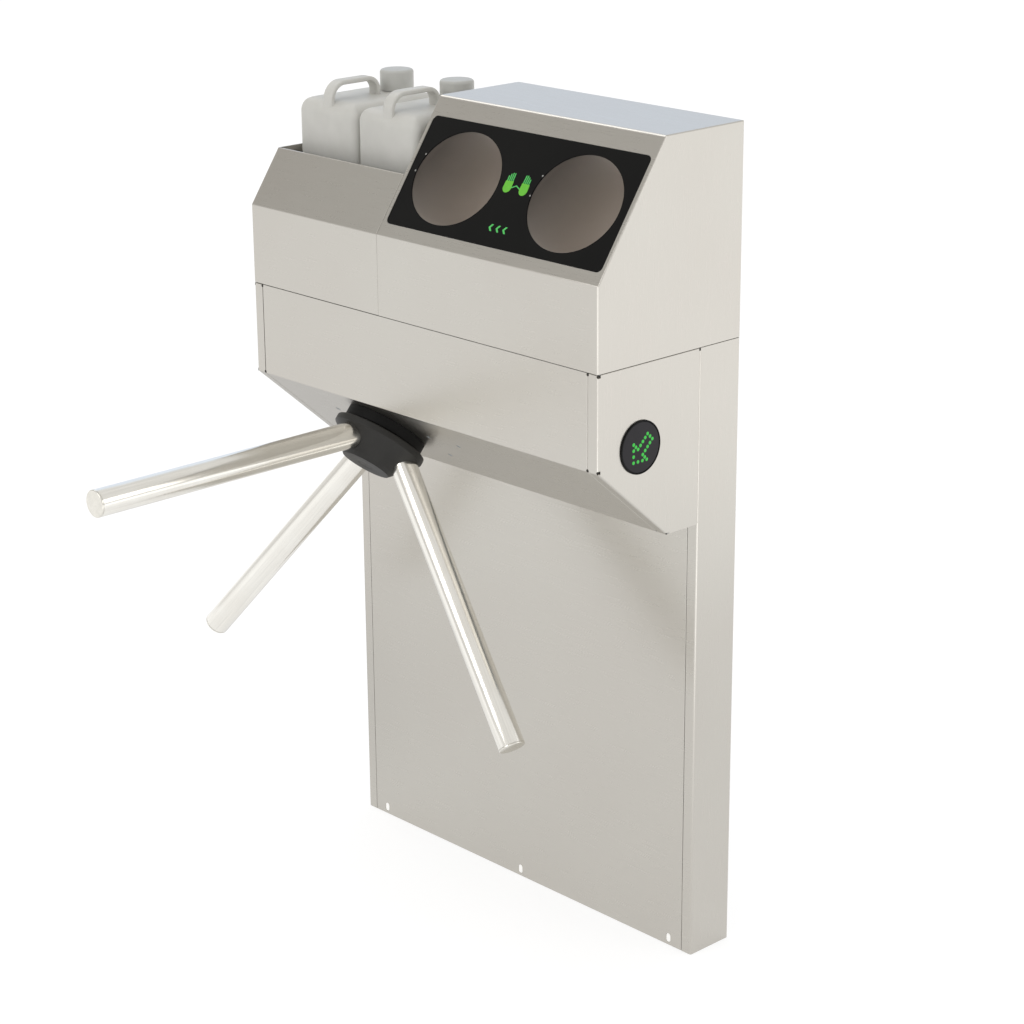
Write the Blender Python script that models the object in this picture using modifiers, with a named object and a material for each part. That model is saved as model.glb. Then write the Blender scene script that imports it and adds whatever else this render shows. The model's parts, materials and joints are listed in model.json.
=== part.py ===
"""Tripod turnstile on a slim pedestal, with a hand sanitising console on top.

Units are metres, +Z is up, +X runs along the wide front and +Y points to the back.
The origin is on the floor, in the middle of the pedestal's foot.
"""

import math

import bmesh
import bpy
from mathutils import Matrix, Vector

# Sheet metal and fits.
SHEET = 0.002
SEAM = 0.0008
SEAT = 0.0003
RETURN_WIDTH = 0.020

# Pedestal.
WIDTH = 0.785
PEDESTAL_DEPTH = 0.087
PEDESTAL_HEIGHT = 1.000
FLOOR_PLATE = 0.006
CABLE_GAP = 0.060
SLOT_WIDTH = 0.0095
SLOT_HEIGHT = 0.0155
SLOT_RISE = 0.0125
SLOT_INSET = 0.049
ANCHOR_INSET = 0.105
ANCHOR_RADIUS = 0.006
ANCHOR_HEAD_RADIUS = 0.0105
ANCHOR_HEAD_HEIGHT = 0.009

# Turnstile housing in front of the pedestal.
HOUSING_REACH = 0.214
HOUSING_FRONT_HEIGHT = 0.148
HOUSING_HEIGHT = 0.2745
HOUSING_FOOT = 0.068

# Upper cabinet: console on the right, canister bay on the left.
CABINET_FRONT_HEIGHT = 0.129
CABINET_HEIGHT = 0.326
CONSOLE_TOP_REACH = 0.078
BAY_WIDTH = 0.308
BAY_LIP_HEIGHT = 0.213
BAY_FLOOR_HEIGHT = 0.075
BAY_STOP_HEIGHT = 0.022

# Black console panel with two hand openings.
PANEL_MARGIN = 0.008
PANEL_LENGTH = 0.184
PANEL_START = 0.021
PANEL_CORNER = 0.009
PANEL_FIT = 0.0005
FRAME_LAP = 0.007
WELL_EDGE = 0.015
WELL_BRIDGE = 0.075
WELL_RADIUS_S = 0.0775
WELL_DEPTH = 0.190
WELL_WALL = 0.0018
WELL_FIT = 0.0004
NOZZLE_RADIUS = 0.0080
NOZZLE_HEAD_RADIUS = 0.0120
NOZZLE_HEAD = 0.004
NOZZLE_TAIL = 0.020

# Pumps under the hand wells.
PUMP_WIDTH = 0.062
PUMP_DEPTH = 0.095
PUMP_HEIGHT = 0.042
PUMP_HEAD_RADIUS = 0.019
PUMP_SETBACK = 0.075

# Canisters.
CANISTER_WIDTH = 0.140
CANISTER_DEPTH = 0.184
CANISTER_HEIGHT = 0.2162
CANISTER_GAP = 0.005
CANISTER_ROUND = 0.018
CANISTER_WALL = 0.002
CANISTER_BACK_GAP = 0.025
NECK_RADIUS = 0.0235
NECK_BORE = 0.0200
NECK_HEIGHT = 0.0290
NECK_FROM_BACK = 0.033
HANDLE_WIDTH = 0.022
HANDLE_THICKNESS = 0.0075
HANDLE_HEIGHT = 0.0305
HANDLE_FRONT_INSET = 0.004
HANDLE_ROOT = 0.010
HANDLE_CAP_GAP = 0.016
HANDLE_FRONT_ROUND = 0.030
HANDLE_BACK_ROUND = 0.020
CAP_RADIUS = 0.0275
CAP_WALL = 0.0030
CAP_TOP = 0.0024
CAP_HEIGHT = 0.0332
CAP_EDGE = 0.0022
CAP_LINER = 0.0018

# Hub and arms, measured along the axis that stands square to the sloped underside.
HUB_X = -0.148
HUB_DOWN_SLOPE = 0.088
ARM_ORIGIN_DEPTH = 0.003
ARM_RADIUS = 0.0212
ARM_WALL = 0.002
ARM_LENGTH = 0.5680
ARM_SOCKET_START = 0.062
ARM_CAP_THICKNESS = 0.003
ARM_CAP_SPIGOT = 0.012
ARM_CAP_BEVEL = 0.0012
FLANGE_RADIUS = 0.068
FLANGE_BORE = 0.030
FLANGE_HEIGHT = 0.018
HUB_BACK = 0.0195
HUB_BOSS_RADIUS = 0.028
HUB_BOSS_DEPTH = 0.004
HUB_RIM_RADIUS = 0.078
HUB_RIM_HEIGHT = 0.0105
HUB_NOSE_RADIUS = 0.0465
HUB_NOSE = 0.066
HUB_FRONT = 0.072
HUB_FRONT_RADIUS = 0.0410
HUB_RECESS_RADIUS = 0.0125
HUB_RECESS_DEPTH = 0.012
BOLT_RADIUS = 0.0040
BOLT_HEAD_RADIUS = 0.0090
BOLT_HEAD_HEIGHT = 0.0065
BOLT_REACH = 0.050

# Mechanism behind the sloped cover.
PLATE_DEPTH = 0.016
PLATE_THICKNESS = 0.006
PLATE_LEFT = 0.110
PLATE_RIGHT = 0.180
PLATE_UP = 0.075
PLATE_DOWN = 0.075
GUSSET_THICKNESS = 0.004
BEARING_HOUSING_RADIUS = 0.026
BEARING_FLANGE_RADIUS = 0.042
BEARING_FLANGE = 0.007
BEARING_HOUSING_LENGTH = 0.059
BEARING_RADIUS = 0.021
BEARING_WIDTH = 0.012
BEARING_INSET = 0.003
SHAFT_RADIUS = 0.0125
SHAFT_INTO_HUB = 0.022
SHAFT_FIT = 0.0003
DISC_DEPTH = 0.081
DISC_THICKNESS = 0.006
DISC_RADIUS = 0.055
NOTCH_COUNT = 12
NOTCH_WIDTH = 0.009
NOTCH_DEPTH = 0.007
PULLEY_DEPTH = 0.092
PULLEY_WIDTH = 0.014
SHAFT_PULLEY_RADIUS = 0.030
MOTOR_PULLEY_RADIUS = 0.015
BELT_THICKNESS = 0.002
MOTOR_OFFSET = 0.120
MOTOR_RADIUS = 0.030
MOTOR_SHAFT_RADIUS = 0.005
MOTOR_SHAFT_LENGTH = 0.018
PAWL_PIVOT_X = 0.050
PAWL_PIVOT_Y = 0.0660
PAWL_STUD_RADIUS = 0.004
PAWL_COLLAR_RADIUS = 0.0065
PAWL_CLIP = 0.0015
PAWL_BOSS_RADIUS = 0.008
PAWL_ARM = 0.006
PAWL_TAIL = 0.030
PAWL_TOOTH = 0.005
PAWL_LEAD = 0.001
PAWL_STANDOFF = 0.0015
SOLENOID_WIDTH = 0.034
SOLENOID_LENGTH = 0.036
SOLENOID_FROM_CENTRE = 0.003
SOLENOID_TALL = 0.020
PLUNGER_RADIUS = 0.004
PLUNGER_SUNK = 0.014
PLUNGER_GAP = 0.0006

# Electronics on the chassis plate.
BOARD_LEFT = 0.075
BOARD_WIDTH = 0.160
BOARD_HEIGHT = 0.100
BOARD_RISE = 0.120
BOARD_THICKNESS = 0.0016
CHIP_HEIGHT = 0.012
SUPPLY_INSET = 0.0275
SUPPLY_WIDTH = 0.100
SUPPLY_HEIGHT = 0.060
SUPPLY_DEPTH = 0.038
SUPPLY_RISE = 0.150

# Round direction indicators on both housing sides.
INDICATOR_REACH = 0.1263
INDICATOR_DROP = 0.1250
INDICATOR_RADIUS = 0.0409
INDICATOR_HEIGHT = 0.0028
INDICATOR_LENS_RADIUS = 0.0385
INDICATOR_LENS = 0.0012
INDICATOR_TUBE_RADIUS = 0.0360
INDICATOR_BORE = 0.0340
INDICATOR_TUBE_DEPTH = 0.022
INDICATOR_EDGE = 0.0010

# Facets.
ROUND_STEPS = 48
SMALL_STEPS = 24
SOCKET_STEPS = 32
ARC_STEPS = 6

# Places worked out from the sizes above.
HALF = WIDTH / 2
BACK_Y = PEDESTAL_DEPTH / 2
FRONT_Y = -PEDESTAL_DEPTH / 2
HOUSING_FRONT_Y = FRONT_Y - HOUSING_REACH
HOUSING_LOW_Z = PEDESTAL_HEIGHT - HOUSING_FRONT_HEIGHT
HOUSING_BOTTOM_Z = PEDESTAL_HEIGHT - HOUSING_HEIGHT
SLOPE_END_Y = FRONT_Y - HOUSING_FOOT
CABINET_Z = PEDESTAL_HEIGHT + SEAM
CABINET_BEND_Z = PEDESTAL_HEIGHT + CABINET_FRONT_HEIGHT
CABINET_TOP_Z = PEDESTAL_HEIGHT + CABINET_HEIGHT
CONSOLE_TOP_Y = FRONT_Y - CONSOLE_TOP_REACH
DIVIDE_X = -HALF + BAY_WIDTH
BAY_LIP_Z = PEDESTAL_HEIGHT + BAY_LIP_HEIGHT
BAY_FLOOR_Z = PEDESTAL_HEIGHT + BAY_FLOOR_HEIGHT
CONSOLE_X = (DIVIDE_X + HALF) / 2
PANEL_WIDTH = HALF - DIVIDE_X - 2 * PANEL_MARGIN
WELL_RADIUS_X = (PANEL_WIDTH - 2 * WELL_EDGE - WELL_BRIDGE) / 4
WELL_SPACING = WELL_BRIDGE + 2 * WELL_RADIUS_X
INNER_HALF = HALF - SHEET - SEAT
CHASSIS_BACK_Y = FRONT_Y - SEAT
CHASSIS_FRONT_Y = CHASSIS_BACK_Y - SHEET
CHASSIS_TOP_Z = PEDESTAL_HEIGHT - SHEET - SEAT
DRIVE_DEPTH = PULLEY_DEPTH + PULLEY_WIDTH
SHAFT_DEPTH = DRIVE_DEPTH + 2 * SHEET

# Colours as (red, green, blue), then roughness and metallic.
STEEL = ("satin_steel", (0.62, 0.60, 0.56), 0.38, 0.9)
POLISHED = ("polished_steel", (0.86, 0.85, 0.82), 0.12, 1.0)
ZINC = ("zinc_plate", (0.55, 0.56, 0.57), 0.45, 0.8)
CAST_BLACK = ("cast_black", (0.045, 0.043, 0.041), 0.45, 0.0)
BLACK_PLASTIC = ("black_plastic", (0.012, 0.012, 0.011), 0.40, 0.0)
GLOSS_BLACK = ("gloss_black", (0.012, 0.012, 0.012), 0.08, 0.0)
LENS_GREY = ("smoked_lens", (0.045, 0.042, 0.046), 0.15, 0.0)
WELL_GREY = ("well_plastic", (0.13, 0.11, 0.10), 0.50, 0.0)
CANISTER_GREY = ("canister_grey", (0.48, 0.48, 0.46), 0.50, 0.0)
CAP_GREY = ("cap_grey", (0.43, 0.43, 0.42), 0.50, 0.0)
BOARD_GREEN = ("board_green", (0.02, 0.14, 0.06), 0.50, 0.0)
RUBBER = ("belt_rubber", (0.02, 0.02, 0.02), 0.80, 0.0)
PUMP_GREY = ("pump_plastic", (0.10, 0.10, 0.11), 0.50, 0.0)
SLATE = ("motor_paint", (0.05, 0.055, 0.06), 0.40, 0.3)


def clear_scene():
    """Remove every object that the file starts with."""
    for thing in list(bpy.data.objects):
        bpy.data.objects.remove(thing, do_unlink=True)


def make_collection(name):
    """Return a new collection linked to the scene."""
    group = bpy.data.collections.new(name)
    bpy.context.scene.collection.children.link(group)
    return group


def make_material(finish):
    """Return the Principled material of a finish, made once."""
    name, colour, roughness, metallic = finish
    found = bpy.data.materials.get(name)
    if found:
        return found
    made = bpy.data.materials.new(name)
    made.use_nodes = True
    shader = made.node_tree.nodes["Principled BSDF"]
    shader.inputs["Base Color"].default_value = (*colour, 1.0)
    shader.inputs["Roughness"].default_value = roughness
    shader.inputs["Metallic"].default_value = metallic
    made.diffuse_color = (*colour, 1.0)
    return made


def frame_at(origin, right, up):
    """Return a placing matrix with the given X and Y directions and their cross product as Z."""
    right = Vector(right).normalized()
    up = Vector(up).normalized()
    normal = right.cross(up)
    return Matrix((
        (right.x, up.x, normal.x, origin[0]),
        (right.y, up.y, normal.y, origin[1]),
        (right.z, up.z, normal.z, origin[2]),
        (0, 0, 0, 1),
    ))


def upright(x, y, z=0.0):
    """Return a placing matrix that only moves."""
    return Matrix.Translation((x, y, z))


def across(low_x, high_x):
    """Return a placing matrix for an outline in Y and Z that is extruded along X."""
    return frame_at(((low_x + high_x) / 2, 0, 0), (0, 1, 0), (0, 0, 1))


def finish_object(name, mesh, place, finish, smooth=False):
    """Link a mesh as a named object of the model."""
    shape = bpy.data.objects.new(name, mesh)
    PARTS.objects.link(shape)
    shape.matrix_world = place
    if mesh.materials:
        mesh.materials.clear()
    mesh.materials.append(make_material(finish))
    if smooth:
        mesh.shade_smooth()
        mesh.set_sharp_from_angle(angle=math.radians(35))
    return shape


def settled_mesh(shape):
    """Return the evaluated mesh of a helper object, welded and facing outwards."""
    bpy.context.view_layer.update()
    graph = bpy.context.evaluated_depsgraph_get()
    mesh = bpy.data.meshes.new_from_object(shape.evaluated_get(graph))
    work = bmesh.new()
    work.from_mesh(mesh)
    bmesh.ops.remove_doubles(work, verts=work.verts, dist=1e-6)
    bmesh.ops.recalc_face_normals(work, faces=work.faces)
    work.to_mesh(mesh)
    work.free()
    bpy.data.objects.remove(shape, do_unlink=True)
    return mesh


def plate(name, loops, thickness, place, finish):
    """Make a flat plate from an outline and its holes, centred on its own XY plane."""
    curve = bpy.data.curves.new(name, "CURVE")
    curve.dimensions = "2D"
    curve.fill_mode = "BOTH"
    curve.extrude = thickness / 2
    for loop in loops:
        spline = curve.splines.new("POLY")
        spline.points.add(len(loop) - 1)
        spline.use_cyclic_u = True
        for point, (x, y) in zip(spline.points, loop):
            point.co = (x, y, 0, 1)
    helper = bpy.data.objects.new(name + "_outline", curve)
    PARTS.objects.link(helper)
    return finish_object(name, settled_mesh(helper), place, finish)


def prism(name, outline, low_x, high_x, finish):
    """Make a solid from an outline in Y and Z between two X positions."""
    return plate(name, [outline], high_x - low_x, across(low_x, high_x), finish)


def block(name, low, high, finish, bevel=0.0, segments=2, place=None):
    """Make a box between two corners, with rounded edges where asked."""
    mesh = bpy.data.meshes.new(name)
    work = bmesh.new()
    bmesh.ops.create_cube(work, size=1.0)
    size = [b - a for a, b in zip(low, high)]
    middle = [(a + b) / 2 for a, b in zip(low, high)]
    bmesh.ops.scale(work, vec=size, verts=work.verts)
    bmesh.ops.translate(work, vec=middle, verts=work.verts)
    work.to_mesh(mesh)
    work.free()
    shape = finish_object(name, mesh, place or Matrix.Identity(4), finish)
    if bevel:
        rounding = shape.modifiers.new("rounded_edges", "BEVEL")
        rounding.width = bevel
        rounding.segments = segments
        rounding.limit_method = "NONE"
    return shape


def turned(name, profile, place, finish, steps=ROUND_STEPS, stretch=1.0):
    """Turn a closed (radius, height) profile around its own Z axis."""
    mesh = bpy.data.meshes.new(name + "_profile")
    points = [(radius, 0.0, height) for radius, height in profile]
    count = len(points)
    edges = [(i, (i + 1) % count) for i in range(count)]
    mesh.from_pydata(points, edges, [])
    helper = bpy.data.objects.new(name + "_turning", mesh)
    PARTS.objects.link(helper)
    screw = helper.modifiers.new("turning", "SCREW")
    screw.axis = "Z"
    screw.angle = math.tau
    screw.steps = steps
    screw.render_steps = steps
    screw.use_merge_vertices = True
    screw.merge_threshold = 1e-5
    screw.use_normal_calculate = True
    result = settled_mesh(helper)
    result.transform(Matrix.Diagonal((stretch, 1.0, 1.0, 1.0)))
    return finish_object(name, result, place, finish, smooth=True)


def solid_round(name, radius, low, high, place, finish, steps=SMALL_STEPS):
    """Make a plain cylinder along its own Z axis."""
    mesh = bpy.data.meshes.new(name)
    work = bmesh.new()
    bmesh.ops.create_cone(
        work, cap_ends=True, segments=steps, radius1=radius, radius2=radius, depth=high - low)
    bmesh.ops.translate(work, vec=(0, 0, (low + high) / 2), verts=work.verts)
    work.to_mesh(mesh)
    work.free()
    return finish_object(name, mesh, place, finish, smooth=True)


def combine(target, other, operation):
    """Cut or join another solid with a Boolean, and put that solid with the cutters."""
    step = target.modifiers.new(operation.lower() + "_" + other.name, "BOOLEAN")
    step.operation = operation
    step.object = other
    other.hide_render = True
    other.display_type = "WIRE"
    if other.name not in CUTTERS.objects:
        CUTTERS.objects.link(other)
        PARTS.objects.unlink(other)


def inset(outline, offsets):
    """Return an outline whose edges have moved inwards, each by its own distance.

    The outline runs anticlockwise, and edge i goes from point i to the next point.
    """
    lines = []
    count = len(outline)
    for i in range(count):
        start = Vector(outline[i])
        along = (Vector(outline[(i + 1) % count]) - start).normalized()
        lines.append((start + Vector((-along.y, along.x)) * offsets[i], along))
    result = []
    for i in range(count):
        point, along = lines[i - 1]
        other, direction = lines[i]
        between = other - point
        scale = between.cross(direction) / along.cross(direction)
        result.append(tuple(point + along * scale))
    return result


def strip(points, thickness):
    """Return the outline of a bent sheet that lies to the left of an open line."""
    lines = []
    for start, end in zip(points, points[1:]):
        along = (Vector(end) - Vector(start)).normalized()
        lines.append((Vector(start) + Vector((-along.y, along.x)) * thickness, along))
    inner = [lines[0][0]]
    for (point, along), (other, direction) in zip(lines, lines[1:]):
        scale = (other - point).cross(direction) / along.cross(direction)
        inner.append(point + along * scale)
    last = Vector(points[-1]) + Vector((-lines[-1][1].y, lines[-1][1].x)) * thickness
    inner.append(last)
    return [tuple(point) for point in points] + [tuple(point) for point in reversed(inner)]


def arc(centre, radius, start, end, steps=ARC_STEPS):
    """Return points on an arc between two angles in degrees."""
    angles = [math.radians(start + (end - start) * i / steps) for i in range(steps + 1)]
    return [(centre[0] + radius * math.cos(a), centre[1] + radius * math.sin(a)) for a in angles]


def rounded_rectangle(centre, width, length, corner):
    """Return a rectangle with round corners, anticlockwise."""
    dx = width / 2 - corner
    dy = length / 2 - corner
    points = []
    for sign_x, sign_y, start in ((1, -1, -90), (1, 1, 0), (-1, 1, 90), (-1, -1, 180)):
        middle = (centre[0] + sign_x * dx, centre[1] + sign_y * dy)
        points += arc(middle, corner, start, start + 90)
    return points


def rectangle(low, high):
    """Return a rectangle between two corners, anticlockwise."""
    return [(low[0], low[1]), (high[0], low[1]), (high[0], high[1]), (low[0], high[1])]


def ellipse(centre, radius_x, radius_y, steps=ROUND_STEPS):
    """Return an ellipse, anticlockwise."""
    angles = [math.tau * i / steps for i in range(steps)]
    return [(centre[0] + radius_x * math.cos(a), centre[1] + radius_y * math.sin(a)) for a in angles]


def slot(centre, width, height):
    """Return an upright slot with round ends."""
    radius = width / 2
    reach = height / 2 - radius
    top = arc((centre[0], centre[1] + reach), radius, 0, 180)
    bottom = arc((centre[0], centre[1] - reach), radius, 180, 360)
    return top + bottom


def housing_outline():
    """Return the side view of the housing in Y and Z, anticlockwise from its bottom."""
    return [
        (SLOPE_END_Y, HOUSING_BOTTOM_Z),
        (FRONT_Y - SEAM, HOUSING_BOTTOM_Z),
        (FRONT_Y - SEAM, PEDESTAL_HEIGHT),
        (HOUSING_FRONT_Y, PEDESTAL_HEIGHT),
        (HOUSING_FRONT_Y, HOUSING_LOW_Z),
    ]


def console_outline():
    """Return the side view of the console in Y and Z, anticlockwise from its bottom."""
    return [
        (HOUSING_FRONT_Y, CABINET_Z),
        (BACK_Y, CABINET_Z),
        (BACK_Y, CABINET_TOP_Z),
        (CONSOLE_TOP_Y, CABINET_TOP_Z),
        (HOUSING_FRONT_Y, CABINET_BEND_Z),
    ]


def console_slope():
    """Return the start and the unit direction of the console's slope in Y and Z."""
    start = Vector((HOUSING_FRONT_Y, CABINET_BEND_Z))
    end = Vector((CONSOLE_TOP_Y, CABINET_TOP_Z))
    return start, (end - start).normalized()


def bay_lip_y():
    """Return where the slope meets the height of the bay's lip."""
    start, along = console_slope()
    return start.x + along.x * (BAY_LIP_Z - start.y) / along.y


def console_frame_matrix():
    """Return the frame on the console's slope: X right, Y up the slope, Z outwards."""
    start, along = console_slope()
    return frame_at((CONSOLE_X, start.x, start.y), (1, 0, 0), (0, along.x, along.y))


def hub_frame_matrix():
    """Return the frame on the sloped underside: X right, Y up the slope, Z out along the axis."""
    low = Vector((HOUSING_FRONT_Y, HOUSING_LOW_Z))
    end = Vector((SLOPE_END_Y, HOUSING_BOTTOM_Z))
    down = (end - low).normalized()
    centre = low + down * HUB_DOWN_SLOPE
    return frame_at((HUB_X, centre.x, centre.y), (1, 0, 0), (0, -down.x, -down.y))


def build_pedestal():
    """Make the folded body, its front panel, the floor plate and the anchor bolts."""
    wall = SHEET
    lip = HALF - RETURN_WIDTH
    section = [
        (-lip, FRONT_Y), (-lip, FRONT_Y + wall), (-HALF + wall, FRONT_Y + wall),
        (-HALF + wall, BACK_Y - wall), (HALF - wall, BACK_Y - wall), (HALF - wall, FRONT_Y + wall),
        (lip, FRONT_Y + wall), (lip, FRONT_Y), (HALF, FRONT_Y), (HALF, BACK_Y), (-HALF, BACK_Y),
        (-HALF, FRONT_Y),
    ]
    body = plate("pedestal_body", [section], PEDESTAL_HEIGHT, upright(0, 0, PEDESTAL_HEIGHT / 2), STEEL)
    cable_way = block(
        "cable_way", (-HALF + 2 * RETURN_WIDTH, BACK_Y - 3 * wall, -CABLE_GAP),
        (HALF - 2 * RETURN_WIDTH, BACK_Y + wall, CABLE_GAP), STEEL)
    combine(body, cable_way, "DIFFERENCE")

    panel_half = lip - SEAM
    low = SEAT
    high = PEDESTAL_HEIGHT - SEAM
    outline = rectangle((-panel_half, low), (panel_half, high))
    slot_places = (-HALF + SLOT_INSET, 0.0, HALF - SLOT_INSET)
    slots = [slot((x, SLOT_RISE), SLOT_WIDTH, SLOT_HEIGHT) for x in slot_places]
    standing = frame_at((0, FRONT_Y + wall / 2, 0), (1, 0, 0), (0, 0, 1))
    plate("pedestal_front_panel", [outline] + slots, wall, standing, STEEL)

    inner_y = PEDESTAL_DEPTH / 2 - wall - SEAT
    anchors = [(-HALF + ANCHOR_INSET, 0.0), (HALF - ANCHOR_INSET, 0.0)]
    floor = [rectangle((-INNER_HALF, -inner_y), (INNER_HALF, inner_y))]
    floor += [ellipse(spot, ANCHOR_RADIUS + SEAT, ANCHOR_RADIUS + SEAT, SMALL_STEPS) for spot in anchors]
    plate("floor_plate", floor, FLOOR_PLATE, upright(0, 0, FLOOR_PLATE / 2), ZINC)
    for side, (x, y) in zip(("left", "right"), anchors):
        head = FLOOR_PLATE + SEAT
        bolt = turned("anchor_bolt_" + side, [
            (0.0, head + ANCHOR_HEAD_HEIGHT), (ANCHOR_HEAD_RADIUS, head + ANCHOR_HEAD_HEIGHT),
            (ANCHOR_HEAD_RADIUS, head), (ANCHOR_RADIUS, head), (ANCHOR_RADIUS, SEAT), (0.0, SEAT),
        ], upright(x, y), ZINC, steps=12)
        bolt.data.shade_flat()


def build_housing():
    """Make the two side pans, the bent front cover, the top plate and the chassis."""
    outline = housing_outline()
    outward = -4 * SHEET
    hollow = inset(outline, [outward, outward, outward, SHEET, SHEET])
    for side, sign in (("left", -1), ("right", 1)):
        low, high = sorted((sign * (HALF - RETURN_WIDTH), sign * HALF))
        pan = prism("housing_side_" + side, outline, low, high, STEEL)
        low, high = sorted((sign * (HALF - 2 * RETURN_WIDTH), sign * (HALF - SHEET)))
        combine(pan, prism("housing_hollow_" + side, hollow, low, high, STEEL), "DIFFERENCE")
        hole = solid_round(
            "indicator_hole_" + side, INDICATOR_TUBE_RADIUS + SEAT, -2 * SHEET, 2 * SHEET,
            indicator_frame(sign), STEEL, ROUND_STEPS)
        combine(pan, hole, "DIFFERENCE")

    cover_half = HALF - RETURN_WIDTH - SEAM
    cover_line = [
        (HOUSING_FRONT_Y, PEDESTAL_HEIGHT), (HOUSING_FRONT_Y, HOUSING_LOW_Z),
        (SLOPE_END_Y, HOUSING_BOTTOM_Z),
    ]
    cover = prism("front_cover", strip(cover_line, SHEET), -cover_half, cover_half, STEEL)
    hole_radius = FLANGE_BORE + 2 * SHEET
    hole = solid_round("cover_hole", hole_radius, -3 * SHEET, 3 * SHEET, HUB_FRAME, STEEL, ROUND_STEPS)
    combine(cover, hole, "DIFFERENCE")

    top = [rectangle((-INNER_HALF, HOUSING_FRONT_Y + SHEET + SEAT), (INNER_HALF, FRONT_Y - SEAM))]
    cable_hole = (CONSOLE_X, FRONT_Y - HOUSING_FOOT / 2)
    top.append(rounded_rectangle(cable_hole, HOUSING_FOOT, HOUSING_FOOT / 2, RETURN_WIDTH / 2))
    plate("housing_top_plate", top, SHEET, upright(0, 0, PEDESTAL_HEIGHT - SHEET / 2), ZINC)

    chassis_line = [
        (SLOPE_END_Y + 2 * SHEET, HOUSING_BOTTOM_Z), (CHASSIS_BACK_Y, HOUSING_BOTTOM_Z),
        (CHASSIS_BACK_Y, CHASSIS_TOP_Z),
    ]
    prism("chassis_plate", strip(chassis_line, SHEET), -INNER_HALF, INNER_HALF, ZINC)


def indicator_frame(sign):
    """Return the frame of an indicator: X towards the back on the right side, Z outwards."""
    centre = (sign * HALF, FRONT_Y - INDICATOR_REACH, PEDESTAL_HEIGHT - INDICATOR_DROP)
    return frame_at(centre, (0, sign, 0), (0, 0, 1))


def build_indicators():
    """Make the round bezel and lens on each side of the housing."""
    ledge = INDICATOR_HEIGHT - INDICATOR_LENS - 2 * SEAT
    for side, sign in (("left", -1), ("right", 1)):
        place = indicator_frame(sign)
        turned("indicator_bezel_" + side, [
            (INDICATOR_LENS_RADIUS + SEAT, INDICATOR_HEIGHT),
            (INDICATOR_RADIUS - INDICATOR_EDGE, INDICATOR_HEIGHT),
            (INDICATOR_RADIUS, INDICATOR_HEIGHT - INDICATOR_EDGE), (INDICATOR_RADIUS, SEAT),
            (INDICATOR_TUBE_RADIUS, SEAT), (INDICATOR_TUBE_RADIUS, -INDICATOR_TUBE_DEPTH),
            (INDICATOR_BORE, -INDICATOR_TUBE_DEPTH), (INDICATOR_BORE, ledge),
            (INDICATOR_LENS_RADIUS + SEAT, ledge),
        ], place, BLACK_PLASTIC)
        solid_round(
            "indicator_lens_" + side, INDICATOR_LENS_RADIUS, ledge + SEAT, ledge + SEAT + INDICATOR_LENS,
            place, LENS_GREY, ROUND_STEPS)


def arm_frames():
    """Return the frame of each arm: origin where the arms meet, Z along the arm."""
    tilt = HUB_FRAME.to_3x3() @ Vector((0, 0, 1))
    lean = math.acos(-tilt.y)
    frames = []
    for index in range(3):
        turn = Matrix.Rotation(math.tau * index / 3, 4, "Z")
        swing = Matrix.Rotation(-lean, 4, "X")
        frames.append(HUB_FRAME @ Matrix.Translation((0, 0, -ARM_ORIGIN_DEPTH)) @ turn @ swing)
    return frames


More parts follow.
